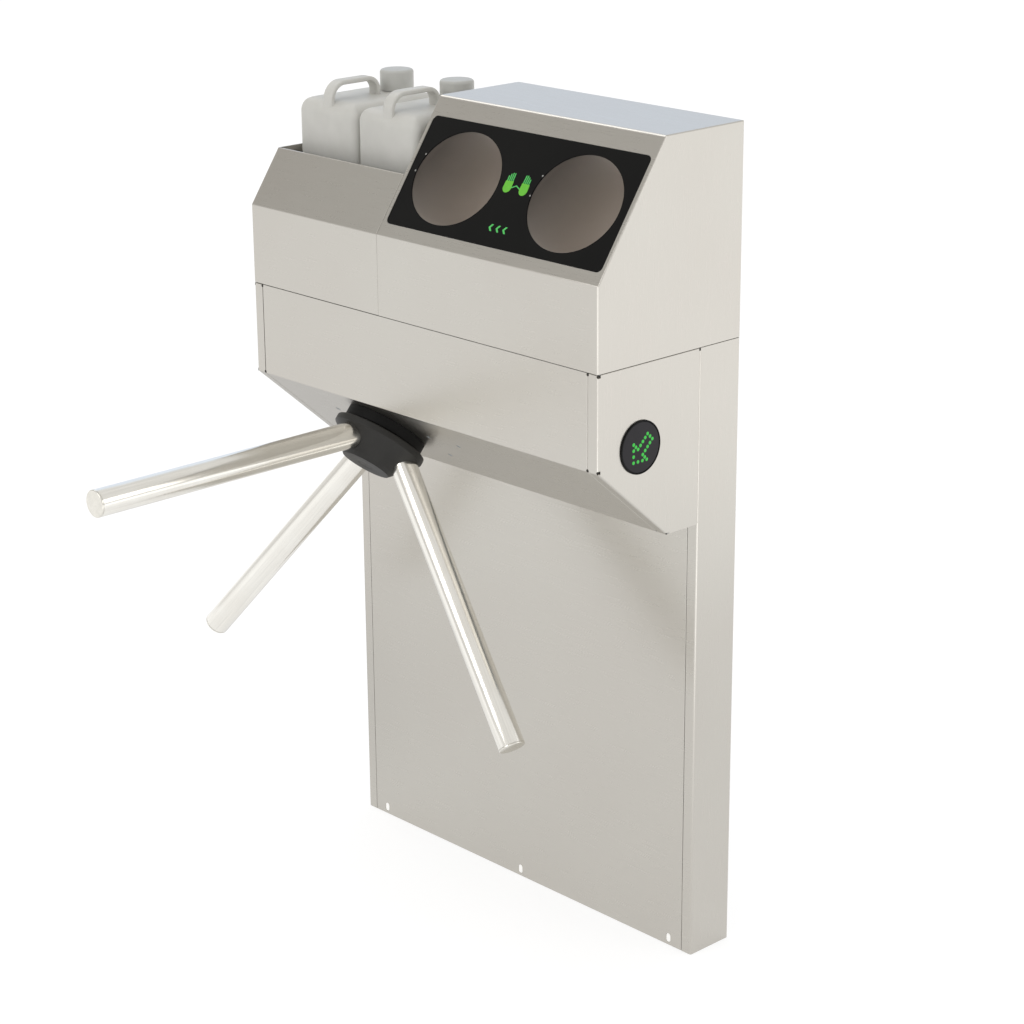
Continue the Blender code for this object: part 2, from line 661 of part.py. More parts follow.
def build_tripod():
    """Make the fixed flange, the hub with its three sockets, the arms, their caps and the bolt."""
    turned("hub_flange", [
        (FLANGE_BORE, FLANGE_HEIGHT), (FLANGE_RADIUS - SHEET, FLANGE_HEIGHT),
        (FLANGE_RADIUS, FLANGE_HEIGHT - SHEET), (FLANGE_RADIUS, SEAT), (FLANGE_BORE, SEAT),
    ], HUB_FRAME, BLACK_PLASTIC)

    shaft_bore = SHAFT_RADIUS + SHAFT_FIT
    bore_end = SHAFT_INTO_HUB + SHAFT_FIT
    rim_top = HUB_BACK + HUB_RIM_HEIGHT
    edge = HUB_RIM_HEIGHT / 5
    recess = HUB_FRONT - HUB_RECESS_DEPTH
    flare = []
    for step in range(ARC_STEPS + 1):
        part = step / ARC_STEPS
        hollow = 0.10 * math.sin(math.pi * part)
        radius = HUB_NOSE_RADIUS + (HUB_RIM_RADIUS - HUB_NOSE_RADIUS) * (part - hollow)
        flare.append((radius, HUB_NOSE + (rim_top - HUB_NOSE) * part))
    hub = turned("tripod_hub", [
        (HUB_RECESS_RADIUS, HUB_FRONT), (HUB_FRONT_RADIUS, HUB_FRONT), *flare,
        (HUB_RIM_RADIUS, HUB_BACK + edge), (HUB_RIM_RADIUS - edge, HUB_BACK),
        (HUB_BOSS_RADIUS, HUB_BACK), (HUB_BOSS_RADIUS, -HUB_BOSS_DEPTH), (shaft_bore, -HUB_BOSS_DEPTH),
        (shaft_bore, bore_end), (BOLT_RADIUS + SEAT, bore_end), (BOLT_RADIUS + SEAT, recess),
        (HUB_RECESS_RADIUS, recess),
    ], HUB_FRAME, CAST_BLACK)

    tube_end = ARM_LENGTH - ARM_CAP_THICKNESS
    tube_bore = ARM_RADIUS - ARM_WALL
    for letter, place in zip("abc", arm_frames()):
        socket = solid_round(
            "arm_socket_" + letter, ARM_RADIUS + SEAT, ARM_SOCKET_START - SEAT, ARM_LENGTH / 2, place,
            CAST_BLACK, SOCKET_STEPS)
        combine(hub, socket, "DIFFERENCE")
        turned("arm_" + letter, [
            (tube_bore, tube_end), (ARM_RADIUS, tube_end), (ARM_RADIUS, ARM_SOCKET_START),
            (tube_bore, ARM_SOCKET_START),
        ], place, POLISHED, steps=SOCKET_STEPS)
        turned("arm_cap_" + letter, [
            (0.0, ARM_LENGTH), (ARM_RADIUS - ARM_CAP_BEVEL, ARM_LENGTH),
            (ARM_RADIUS, ARM_LENGTH - ARM_CAP_BEVEL), (ARM_RADIUS, tube_end + SEAT),
            (tube_bore - SEAT, tube_end + SEAT), (tube_bore - SEAT, tube_end - ARM_CAP_SPIGOT),
            (0.0, tube_end - ARM_CAP_SPIGOT),
        ], place, POLISHED, steps=SOCKET_STEPS)

    under_head = recess + SEAT
    turned("hub_bolt", [
        (0.0, under_head + BOLT_HEAD_HEIGHT), (BOLT_HEAD_RADIUS, under_head + BOLT_HEAD_HEIGHT),
        (BOLT_HEAD_RADIUS, under_head), (BOLT_RADIUS, under_head), (BOLT_RADIUS, under_head - BOLT_REACH),
        (0.0, under_head - BOLT_REACH),
    ], HUB_FRAME, ZINC, steps=SMALL_STEPS)
    hole_end = under_head - BOLT_REACH - SEAT
    turned("main_shaft", [
        (BOLT_RADIUS + SEAT, SHAFT_INTO_HUB), (SHAFT_RADIUS, SHAFT_INTO_HUB), (SHAFT_RADIUS, -SHAFT_DEPTH),
        (0.0, -SHAFT_DEPTH), (0.0, hole_end), (BOLT_RADIUS + SEAT, hole_end),
    ], HUB_FRAME, ZINC, steps=SOCKET_STEPS)


def gusset_outline():
    """Return the side view of the gussets between the mechanism plate and the chassis."""
    depth = -PLATE_DEPTH - PLATE_THICKNESS / 2
    upper = HUB_FRAME @ Vector((0, PLATE_UP - 2 * PLATE_THICKNESS, depth))
    lower = HUB_FRAME @ Vector((0, 2 * PLATE_THICKNESS - PLATE_DOWN, depth))
    wall_y = CHASSIS_FRONT_Y - SEAT
    return [
        (lower.y, lower.z), (wall_y, lower.z + PLATE_THICKNESS), (wall_y, upper.z - PLATE_THICKNESS),
        (upper.y, upper.z),
    ]


def build_mechanism():
    """Make the welded mechanism frame, the bearings in their housing and the drive."""
    back = -PLATE_DEPTH - PLATE_THICKNESS
    outline = [rectangle((-PLATE_LEFT, -PLATE_DOWN), (PLATE_RIGHT, PLATE_UP))]
    bore = BEARING_HOUSING_RADIUS + SEAT
    outline.append(ellipse((0, 0), bore, bore))
    middle = HUB_FRAME @ Matrix.Translation((0, 0, -PLATE_DEPTH - PLATE_THICKNESS / 2))
    frame = plate("mechanism_frame", outline, PLATE_THICKNESS, middle, ZINC)
    gussets = gusset_outline()
    left_x = HUB_X - PLATE_LEFT + GUSSET_THICKNESS
    right_x = HUB_X + PLATE_RIGHT - GUSSET_THICKNESS
    for side, x in (("left", left_x), ("right", right_x)):
        gusset = prism("gusset_" + side, gussets, x - GUSSET_THICKNESS / 2, x + GUSSET_THICKNESS / 2, ZINC)
        combine(frame, gusset, "UNION")
    plate_middle = -PLATE_DEPTH - PLATE_THICKNESS / 2
    shoulder = -DISC_DEPTH + SEAT
    clip = -DISC_DEPTH - DISC_THICKNESS - SEAT
    for side, sign in (("upper", 1), ("lower", -1)):
        place = HUB_FRAME @ Matrix.Translation((-PAWL_PIVOT_X, sign * PAWL_PIVOT_Y, 0))
        stud = turned("pawl_stud_" + side, [
            (0.0, plate_middle), (PAWL_COLLAR_RADIUS, plate_middle), (PAWL_COLLAR_RADIUS, shoulder),
            (PAWL_STUD_RADIUS, shoulder), (PAWL_STUD_RADIUS, clip), (PAWL_COLLAR_RADIUS, clip),
            (PAWL_COLLAR_RADIUS, clip - PAWL_CLIP), (0.0, clip - PAWL_CLIP),
        ], place, ZINC, steps=SMALL_STEPS)
        combine(frame, stud, "UNION")

    flange_low = -PLATE_DEPTH + SEAT
    housing_end = flange_low - BEARING_HOUSING_LENGTH
    bearing_seat = BEARING_RADIUS + SEAT
    turned("bearing_housing", [
        (bearing_seat, flange_low + BEARING_FLANGE), (BEARING_FLANGE_RADIUS, flange_low + BEARING_FLANGE),
        (BEARING_FLANGE_RADIUS, flange_low), (BEARING_HOUSING_RADIUS, flange_low),
        (BEARING_HOUSING_RADIUS, housing_end), (bearing_seat, housing_end),
    ], HUB_FRAME, ZINC)
    shaft_clear = SHAFT_RADIUS + SHAFT_FIT
    bearing_tops = (flange_low + BEARING_FLANGE - BEARING_INSET, housing_end + BEARING_INSET + BEARING_WIDTH)
    for side, high in zip(("front", "rear"), bearing_tops):
        turned("bearing_" + side, [
            (shaft_clear, high), (BEARING_RADIUS, high), (BEARING_RADIUS, high - BEARING_WIDTH),
            (shaft_clear, high - BEARING_WIDTH),
        ], HUB_FRAME, POLISHED, steps=SOCKET_STEPS)

    turned("shaft_pulley", [
        (shaft_clear, -PULLEY_DEPTH), (SHAFT_PULLEY_RADIUS, -PULLEY_DEPTH),
        (SHAFT_PULLEY_RADIUS, -DRIVE_DEPTH), (shaft_clear, -DRIVE_DEPTH),
    ], HUB_FRAME, ZINC, steps=SOCKET_STEPS)
    motor_place = HUB_FRAME @ Matrix.Translation((MOTOR_OFFSET, 0, 0))
    motor_top = -PULLEY_DEPTH + 2 * SHEET
    socket = MOTOR_SHAFT_RADIUS + SEAT
    turned("motor_pulley", [
        (0.0, motor_top + MOTOR_SHAFT_LENGTH), (MOTOR_SHAFT_RADIUS, motor_top + MOTOR_SHAFT_LENGTH),
        (MOTOR_SHAFT_RADIUS, -PULLEY_DEPTH), (MOTOR_PULLEY_RADIUS, -PULLEY_DEPTH),
        (MOTOR_PULLEY_RADIUS, -DRIVE_DEPTH), (0.0, -DRIVE_DEPTH),
    ], motor_place, ZINC, steps=SMALL_STEPS)
    socket_end = motor_top + MOTOR_SHAFT_LENGTH + SEAT
    turned("drive_motor", [
        (0.0, back - SEAT), (MOTOR_RADIUS, back - SEAT), (MOTOR_RADIUS, motor_top), (socket, motor_top),
        (socket, socket_end), (0.0, socket_end),
    ], motor_place, SLATE, steps=SOCKET_STEPS)
    belt_place = HUB_FRAME @ Matrix.Translation((0, 0, -PULLEY_DEPTH - PULLEY_WIDTH / 2))
    belt = [belt_line(SEAT + BELT_THICKNESS), belt_line(SEAT)]
    plate("drive_belt", belt, PULLEY_WIDTH - 2 * SHEET, belt_place, RUBBER)


def belt_line(clearance):
    """Return the line around both pulleys at a distance from them."""
    big = SHAFT_PULLEY_RADIUS + clearance
    small = MOTOR_PULLEY_RADIUS + clearance
    touch = math.degrees(math.acos((SHAFT_PULLEY_RADIUS - MOTOR_PULLEY_RADIUS) / MOTOR_OFFSET))
    around_small = arc((MOTOR_OFFSET, 0), small, -touch, touch, SMALL_STEPS)
    around_big = arc((0, 0), big, touch, 360 - touch, SMALL_STEPS)
    return around_small + around_big


def build_lock():
    """Make the notched disc, the two pawls and the solenoids that push them in."""
    half_angle = math.degrees(math.asin(NOTCH_WIDTH / 2 / DISC_RADIUS))
    floor = DISC_RADIUS - NOTCH_DEPTH
    step = 360 / NOTCH_COUNT
    outline = []
    for index in range(NOTCH_COUNT):
        middle = math.radians(index * step)
        along = Vector((math.cos(middle), math.sin(middle)))
        sideways = Vector((-along.y, along.x)) * NOTCH_WIDTH / 2
        outline.append(tuple(along * floor - sideways))
        outline.append(tuple(along * floor + sideways))
        outline += arc((0, 0), DISC_RADIUS, index * step + half_angle, (index + 1) * step - half_angle, 3)
    bore = SHAFT_RADIUS + SHAFT_FIT
    layer = HUB_FRAME @ Matrix.Translation((0, 0, -DISC_DEPTH - DISC_THICKNESS / 2))
    plate("lock_disc", [outline, ellipse((0, 0), bore, bore, SOCKET_STEPS)], DISC_THICKNESS, layer, ZINC)

    hole = PAWL_STUD_RADIUS + SEAT
    tip = DISC_RADIUS + PAWL_STANDOFF - PAWL_PIVOT_Y
    half_arm = PAWL_ARM / 2
    tooth_near = PAWL_PIVOT_X + PAWL_LEAD - PAWL_TOOTH / 2
    tooth_far = tooth_near + PAWL_TOOTH
    solenoid_x = -PAWL_PIVOT_X - PAWL_TAIL
    solenoid_top = SOLENOID_FROM_CENTRE + SOLENOID_LENGTH
    for side, sign in (("upper", 1), ("lower", -1)):
        pivot = layer @ Matrix.Translation((-PAWL_PIVOT_X, sign * PAWL_PIVOT_Y, 0))
        boss = [(x, sign * y) for x, y in arc((0, 0), PAWL_BOSS_RADIUS, 30, 150)]
        under = [(x, sign * y) for x, y in arc((0, 0), PAWL_BOSS_RADIUS, 210, 330)]
        lever = [
            (tooth_far, sign * tip), (tooth_far, sign * half_arm),
            *boss, (-PAWL_TAIL - half_arm, sign * half_arm), (-PAWL_TAIL - half_arm, -sign * half_arm),
            *under, (tooth_near, -sign * half_arm), (tooth_near, sign * tip),
        ]
        plate("pawl_" + side, [lever, ellipse((0, 0), hole, hole, SMALL_STEPS)], DISC_THICKNESS, pivot, ZINC)

        low_y, high_y = sorted((sign * SOLENOID_FROM_CENTRE, sign * solenoid_top))
        solenoid = block(
            "solenoid_" + side, (solenoid_x - SOLENOID_WIDTH / 2, low_y, -DISC_DEPTH - SOLENOID_TALL),
            (solenoid_x + SOLENOID_WIDTH / 2, high_y, -PLATE_DEPTH - PLATE_THICKNESS - SEAT), SLATE,
            place=HUB_FRAME)
        push = frame_at((0, 0, 0), (1, 0, 0), (0, 0, -sign))
        plunger_place = layer @ Matrix.Translation((solenoid_x, 0, 0)) @ push
        bore_cutter = solid_round(
            "plunger_bore_" + side, PLUNGER_RADIUS + SEAT, solenoid_top - PLUNGER_SUNK - SEAT,
            solenoid_top + SHEET, plunger_place, SLATE)
        combine(solenoid, bore_cutter, "DIFFERENCE")
        solid_round(
            "plunger_" + side, PLUNGER_RADIUS, solenoid_top - PLUNGER_SUNK,
            PAWL_PIVOT_Y - half_arm - PLUNGER_GAP, plunger_place, POLISHED)


def build_electronics():
    """Make the control board and the power supply on the chassis plate."""
    wall = CHASSIS_FRONT_Y - SEAT
    low_z = HOUSING_BOTTOM_Z + BOARD_RISE
    board = block(
        "control_board", (BOARD_LEFT, wall - BOARD_THICKNESS, low_z),
        (BOARD_LEFT + BOARD_WIDTH, wall, low_z + BOARD_HEIGHT), BOARD_GREEN)
    pitch = BOARD_WIDTH / 4
    for index in range(3):
        left = BOARD_LEFT + pitch * (index + 0.6)
        chip = block(
            f"board_chip_{index}", (left, wall - BOARD_THICKNESS - CHIP_HEIGHT, low_z + BOARD_HEIGHT / 4),
            (left + pitch / 2, wall - BOARD_THICKNESS / 2, low_z + BOARD_HEIGHT * 3 / 4), BOARD_GREEN)
        combine(board, chip, "UNION")
    supply_x = -HALF + SUPPLY_INSET
    supply_z = HOUSING_BOTTOM_Z + SUPPLY_RISE
    block(
        "power_supply", (supply_x, wall - SUPPLY_DEPTH, supply_z),
        (supply_x + SUPPLY_WIDTH, wall, supply_z + SUPPLY_HEIGHT), ZINC, bevel=SHEET / 2, segments=1)


def build_console():
    """Make the console shell, its back, the black panel and what carries it."""
    outline = console_outline()
    outward = -4 * SHEET
    shell = prism("console_shell", outline, DIVIDE_X, HALF, STEEL)
    hollow = inset(outline, [outward, outward, SHEET, SHEET, SHEET])
    combine(shell, prism("console_hollow", hollow, DIVIDE_X + SHEET, HALF - SHEET, STEEL), "DIFFERENCE")

    centre = (0.0, PANEL_START + PANEL_LENGTH / 2)
    window = plate(
        "panel_window", [rounded_rectangle(
            centre, PANEL_WIDTH + 2 * PANEL_FIT, PANEL_LENGTH + 2 * PANEL_FIT, PANEL_CORNER + PANEL_FIT)],
        6 * SHEET, CONSOLE_FRAME, STEEL)
    combine(shell, window, "DIFFERENCE")

    inside = inset(outline, [SHEET + SEAT] * len(outline))
    top = inside[2][1]
    low_x = DIVIDE_X + SHEET + SEAT
    back = frame_at((0, BACK_Y - SHEET / 2, 0), (1, 0, 0), (0, 0, 1))
    plate("console_back_panel", [rectangle((low_x, CABINET_Z), (INNER_HALF, top))], SHEET, back, STEEL)

    hole_centres = [(sign * WELL_SPACING / 2, centre[1]) for sign in (-1, 1)]
    panel = [rounded_rectangle(centre, PANEL_WIDTH, PANEL_LENGTH, PANEL_CORNER)]
    panel += [ellipse(spot, WELL_RADIUS_X, WELL_RADIUS_S) for spot in hole_centres]
    plate("console_panel", panel, SHEET, CONSOLE_FRAME @ upright(0, 0, -SHEET / 2), GLOSS_BLACK)

    outer = WELL_WALL + WELL_FIT
    carrier = [rectangle(
        (-PANEL_WIDTH / 2 - FRAME_LAP / 4, PANEL_START - FRAME_LAP),
        (PANEL_WIDTH / 2 + FRAME_LAP / 4, PANEL_START + PANEL_LENGTH + FRAME_LAP))]
    carrier += [ellipse(spot, WELL_RADIUS_X + outer, WELL_RADIUS_S + outer) for spot in hole_centres]
    depth = SHEET * 1.5 + SEAT
    plate("console_frame", carrier, SHEET, CONSOLE_FRAME @ upright(0, 0, -depth), ZINC)
    for side, spot in zip(("left", "right"), hole_centres):
        build_hand_well(side, spot)


def well_curve(radius, depth):
    """Return the well's side from its mouth to the nozzle hole, rounded like a deep bowl."""
    points = []
    last = math.acos(NOZZLE_RADIUS / radius)
    steps = 2 * ARC_STEPS
    for index in range(steps + 1):
        angle = last * index / steps
        points.append((radius * math.cos(angle), -depth * math.sin(angle) ** (1 / 3)))
    return points


def build_hand_well(side, spot):
    """Make one hand well behind the panel and its spray nozzle."""
    mouth = CONSOLE_FRAME @ upright(spot[0], spot[1], -SHEET - SEAT)
    inner = well_curve(WELL_RADIUS_S, WELL_DEPTH)
    outer = well_curve(WELL_RADIUS_S + WELL_WALL, WELL_DEPTH + WELL_WALL)
    turned("hand_well_" + side, outer + inner[::-1], mouth, WELL_GREY, stretch=WELL_RADIUS_X / WELL_RADIUS_S)
    stem = NOZZLE_RADIUS - SEAT
    head_base = inner[-1][1] + 3 * SEAT
    outside = outer[-1][1] - SEAT
    turned("spray_nozzle_" + side, [
        (0.0, head_base + NOZZLE_HEAD), (NOZZLE_HEAD_RADIUS / 2, head_base + NOZZLE_HEAD),
        (NOZZLE_HEAD_RADIUS, head_base), (stem, head_base), (stem, outside),
        (NOZZLE_HEAD_RADIUS, outside), (NOZZLE_HEAD_RADIUS, outside - NOZZLE_HEAD),
        (stem / 2, outside - NOZZLE_HEAD), (stem / 2, outside - NOZZLE_TAIL), (0.0, outside - NOZZLE_TAIL),
    ], mouth, BLACK_PLASTIC, steps=SMALL_STEPS)


def build_pumps():
    """Make a small diaphragm pump under each hand well."""
    for side, sign in (("left", -1), ("right", 1)):
        x = CONSOLE_X + sign * WELL_SPACING / 2
        front = HOUSING_FRONT_Y + PUMP_SETBACK
        low = PEDESTAL_HEIGHT + SEAT
        pump = block(
            "pump_" + side, (x - PUMP_WIDTH / 2, front, low),
            (x + PUMP_WIDTH / 2, front + PUMP_DEPTH / 2, low + PUMP_HEIGHT), PUMP_GREY, bevel=SHEET,
            segments=1)
        place = frame_at((x, front + PUMP_DEPTH / 2 - SHEET, low + PUMP_HEIGHT / 2), (1, 0, 0), (0, 0, -1))
        head = solid_round("pump_head_" + side, PUMP_HEAD_RADIUS, 0.0, PUMP_DEPTH / 2, place, PUMP_GREY)
        combine(pump, head, "UNION")


def build_bay():
    """Make the open canister bay and its floor."""
    lip_y = bay_lip_y()
    outline = [
        (HOUSING_FRONT_Y, CABINET_Z), (BACK_Y, CABINET_Z), (BACK_Y, BAY_LIP_Z), (lip_y, BAY_LIP_Z),
        (HOUSING_FRONT_Y, CABINET_BEND_Z),
    ]
    outward = -4 * SHEET
    right = DIVIDE_X - SEAM
    shell = prism("bay_shell", outline, -HALF, right, STEEL)
    hollow = inset(outline, [outward, SHEET, outward, SHEET, SHEET])
    combine(shell, prism("bay_hollow", hollow, -HALF + SHEET, right + SHEET, STEEL), "DIFFERENCE")

    front = CANISTER_FRONT_Y - SEAT - SHEET
    floor_line = [
        (front, BAY_FLOOR_Z + BAY_STOP_HEIGHT), (front, BAY_FLOOR_Z), (BACK_Y - SHEET - SEAT, BAY_FLOOR_Z),
    ]
    floor = strip(floor_line, SHEET)
    prism("bay_floor", floor, -HALF + SHEET + SEAT, right - SEAT, ZINC)


def canister_centres():
    """Return the X position of each canister, spread evenly over the bay."""
    middle = (-HALF + SHEET + DIVIDE_X - SEAM) / 2
    pitch = (CANISTER_WIDTH + CANISTER_GAP) / 2
    return (("left", middle - pitch), ("right", middle + pitch))


def handle_outline(front):
    """Return the strap handle's arch in Y and Z, from its front foot over to its back foot."""
    low = CANISTER_TOP_Z - HANDLE_ROOT
    high = CANISTER_TOP_Z + HANDLE_HEIGHT
    start = front + HANDLE_FRONT_INSET
    end = front + CANISTER_DEPTH - NECK_FROM_BACK - CAP_RADIUS - HANDLE_CAP_GAP
    outer = [(end, low)]
    outer += arc((end - HANDLE_BACK_ROUND, high - HANDLE_BACK_ROUND), HANDLE_BACK_ROUND, 0, 90)
    outer += arc((start + HANDLE_FRONT_ROUND, high - HANDLE_FRONT_ROUND), HANDLE_FRONT_ROUND, 90, 180)
    outer.append((start, low))
    thick = HANDLE_THICKNESS
    inner = [(start + thick, low)]
    inner += arc(
        (start + HANDLE_FRONT_ROUND, high - HANDLE_FRONT_ROUND), HANDLE_FRONT_ROUND - thick, 180, 90)
    inner += arc((end - HANDLE_BACK_ROUND, high - HANDLE_BACK_ROUND), HANDLE_BACK_ROUND - thick, 90, 0)
    inner.append((end - thick, low))
    return outer + inner


def build_canisters():
    """Make both canisters with their strap handles, necks, liners and screw caps."""
    low = CANISTER_LOW_Z
    front = CANISTER_FRONT_Y
    neck_y = front + CANISTER_DEPTH - NECK_FROM_BACK
    neck_top = CANISTER_TOP_Z + NECK_HEIGHT
    wall = CANISTER_WALL
    for side, x in canister_centres():
        left = x - CANISTER_WIDTH / 2
        body = block(
            "canister_" + side, (left, front, low),
            (left + CANISTER_WIDTH, front + CANISTER_DEPTH, CANISTER_TOP_Z),
            CANISTER_GREY, bevel=CANISTER_ROUND, segments=4)
        neck_place = upright(x, neck_y)
        neck = solid_round(
            "neck_" + side, NECK_RADIUS, CANISTER_TOP_Z - wall / 2, neck_top, neck_place, CANISTER_GREY)
        combine(body, neck, "UNION")
        handle = prism(
            "handle_" + side, handle_outline(front), x - HANDLE_WIDTH / 2, x + HANDLE_WIDTH / 2,
            CANISTER_GREY)
        combine(body, handle, "UNION")
        cavity = block(
            "cavity_" + side, (left + wall, front + wall, low + wall),
            (left + CANISTER_WIDTH - wall, front + CANISTER_DEPTH - wall, CANISTER_TOP_Z - wall),
            CANISTER_GREY, bevel=CANISTER_ROUND - wall, segments=3)
        combine(body, cavity, "DIFFERENCE")
        mouth = solid_round(
            "neck_bore_" + side, NECK_BORE, CANISTER_TOP_Z - 4 * wall, neck_top + wall, neck_place,
            CANISTER_GREY)
        combine(body, mouth, "DIFFERENCE")

        liner_top = neck_top + SEAT + CAP_LINER
        solid_round("cap_liner_" + side, NECK_RADIUS, neck_top + SEAT, liner_top, neck_place, CAP_GREY)
        cap_top = liner_top + SEAT + CAP_TOP
        cap_low = cap_top - CAP_HEIGHT
        inner = CAP_RADIUS - CAP_WALL
        turned("cap_" + side, [
            (0.0, cap_top), (CAP_RADIUS - CAP_EDGE, cap_top), (CAP_RADIUS, cap_top - CAP_EDGE),
            (CAP_RADIUS, cap_low), (inner, cap_low), (inner, cap_top - CAP_TOP), (0.0, cap_top - CAP_TOP),
        ], neck_place, CAP_GREY, steps=SOCKET_STEPS)


def hang_on(names, empty_name, place):
    """Parent moving pieces to an empty that stands on their joint's axis."""
    empty = bpy.data.objects.new(empty_name, None)
    PARTS.objects.link(empty)
    empty.matrix_world = place
    bpy.context.view_layer.update()
    for name in names:
        piece = bpy.data.objects[name]
        piece.parent = empty
        piece.matrix_parent_inverse = place.inverted()


def group_moving_pieces():
    """Put each moving group on its joint's axis."""
    turning = ["tripod_hub", "hub_bolt", "main_shaft", "lock_disc", "shaft_pulley"]
    turning += [f"{kind}_{letter}" for kind in ("arm", "arm_cap") for letter in "abc"]
    hang_on(turning, "tripod_axis", HUB_FRAME)
    hang_on(["motor_pulley"], "motor_axis", HUB_FRAME @ Matrix.Translation((MOTOR_OFFSET, 0, 0)))
    neck_y = CANISTER_FRONT_Y + CANISTER_DEPTH - NECK_FROM_BACK
    for side, x in canister_centres():
        hang_on([f"canister_{side}"], f"canister_{side}_lift", upright(x, neck_y, CANISTER_LOW_Z))
        hang_on([f"cap_{side}", f"cap_liner_{side}"], f"cap_{side}_axis", upright(x, neck_y, CANISTER_TOP_Z))


clear_scene()
PARTS = make_collection("turnstile")
CUTTERS = make_collection("cutters")
HUB_FRAME = hub_frame_matrix()
CONSOLE_FRAME = console_frame_matrix()
CANISTER_LOW_Z = BAY_FLOOR_Z + SHEET + SEAT
CANISTER_TOP_Z = CANISTER_LOW_Z + CANISTER_HEIGHT
CANISTER_FRONT_Y = BACK_Y - CANISTER_BACK_GAP - CANISTER_DEPTH

build_pedestal()
build_housing()
build_indicators()
build_tripod()
build_mechanism()
build_lock()
build_electronics()
build_console()
build_pumps()
build_bay()
build_canisters()
group_moving_pieces()
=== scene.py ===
"""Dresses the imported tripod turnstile: sheet steel, arms, console, canisters, signs, light and camera.

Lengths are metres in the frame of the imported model: +X right along the wide front, +Y back, +Z up.
"""

from __future__ import annotations

import json
import logging
import math
from collections.abc import Iterable, Sequence
from dataclasses import dataclass
from enum import Enum

import bmesh
import bpy
import numpy as np
from mathutils import Matrix, Vector

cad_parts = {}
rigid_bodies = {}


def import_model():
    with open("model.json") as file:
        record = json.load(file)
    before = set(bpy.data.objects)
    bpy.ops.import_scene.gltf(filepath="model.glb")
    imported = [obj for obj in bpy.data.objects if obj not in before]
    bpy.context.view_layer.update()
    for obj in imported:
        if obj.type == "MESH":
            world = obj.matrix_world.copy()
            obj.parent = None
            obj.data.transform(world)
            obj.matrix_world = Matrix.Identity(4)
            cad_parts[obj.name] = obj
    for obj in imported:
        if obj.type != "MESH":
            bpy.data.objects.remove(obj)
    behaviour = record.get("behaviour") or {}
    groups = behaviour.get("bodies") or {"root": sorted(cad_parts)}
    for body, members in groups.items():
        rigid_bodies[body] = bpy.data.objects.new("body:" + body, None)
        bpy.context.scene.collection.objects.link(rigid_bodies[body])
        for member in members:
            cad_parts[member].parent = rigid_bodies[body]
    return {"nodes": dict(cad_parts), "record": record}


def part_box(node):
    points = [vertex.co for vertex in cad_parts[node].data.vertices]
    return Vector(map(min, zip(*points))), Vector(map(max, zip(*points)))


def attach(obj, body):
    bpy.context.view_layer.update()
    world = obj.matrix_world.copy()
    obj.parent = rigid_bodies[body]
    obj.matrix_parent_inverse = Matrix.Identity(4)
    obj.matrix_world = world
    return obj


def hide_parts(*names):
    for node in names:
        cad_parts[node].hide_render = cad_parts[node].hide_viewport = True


LOG = logging.getLogger("turnstile")
MM = 0.001
STAND = "stand"
TRIPOD = "tripod"
OWN_PLACE = "own_place"
RIGHT, BACK, UP = (1, 0, 0), (0, 1, 0), (0, 0, 1)
SQUARE = np.array([(-1, -1), (1, -1), (1, 1), (-1, 1)])

# Faces that meet at more than SHARP_DEGREES keep a hard edge. At less than FLAT_DEGREES they are one face.
SHARP_DEGREES = 32
FLAT_DEGREES = 0.6
# Points nearer than MERGE_DISTANCE are one point, and an edge's ends lie on a bend within EDGE_REACH.
MERGE_DISTANCE = 2e-6
EDGE_REACH = 0.5 * MM

# How many steps a circle has: wells and hub, rings, tubes and caps, bores, screws, pockets, dots, pins.
WIDE_STEPS, RING_STEPS, TUBE_STEPS, BORE_STEPS = 144, 128, 96, 64
SCREW_STEPS, POCKET_STEPS, DOT_STEPS, PIN_STEPS = 36, 32, 24, 20

# What all finishes share: which part of the noise shows, how long the grain is, how far light goes in.
LINE_SPAN = (0.3, 0.7)
CLOUD_SPAN = (0.32, 0.68)
ROUGHNESS_WAVER = (0.9, 1.1)
GRAIN_STRETCH = 50
SIDEWAYS = 0.7
SCATTER_RADIUS = (0.004, 0.004, 0.0035)
COAT_ROUGHNESS = 0.05

# The inputs of a Map Range node, in the order in which their values are given here.
RANGE_INPUTS = ("Value", "From Min", "From Max", "To Min", "To Max")

Point = Sequence[float]
Mesh = bpy.types.Mesh
Piece = bpy.types.Object
Tree = bpy.types.NodeTree
Socket = bpy.types.NodeSocket
Inputs = dict[str | int, object]


class Side(Enum):
    """Left or right as seen from the front."""

    LEFT = -1
    RIGHT = 1

    @property
    def word(self) -> str:
        """Returns the word that node names use."""
        return self.name.lower()


class Grain(Enum):
    """How the fine lines of a metal surface run."""

    SHEET = "along the width, and upright on the sides"
    DRAWN = "around and along a tube"
    NONE = "no lines"


def linear(code: str) -> tuple[float, float, float, float]:
    """Turns an sRGB hex value into a linear colour with full alpha.

    Args:
        code: Six hex digits, such as "CFCCC4".

    Returns:
        Red, green, blue and alpha for a shader socket.
    """
    channels = []
    for start in (0, 2, 4):
        value = int(code[start:start + 2], 16) / 255
        channels.append(value / 12.92 if value <= 0.04045 else ((value + 0.055) / 1.055) ** 2.4)
    return (*channels, 1.0)


def add_node(tree: Tree, kind: str, inputs: Inputs | None = None, **settings: object) -> bpy.types.Node:
    """Adds a shader node with its settings and inputs.

    Args:
        tree: The node tree that gets the node.
        kind: The node's type name, without ShaderNode in front.
        inputs: What goes into its input sockets, by name or index: another node's output or a value.
        settings: Attributes of the node.

    Returns:
        The new node.
    """
    made = tree.nodes.new("ShaderNode" + kind)
    for name, value in settings.items():
        setattr(made, name, value)
    for key, value in (inputs or {}).items():
        if isinstance(value, Socket):
            tree.links.new(value, made.inputs[key])
        else:
            made.inputs[key].default_value = value
    return made


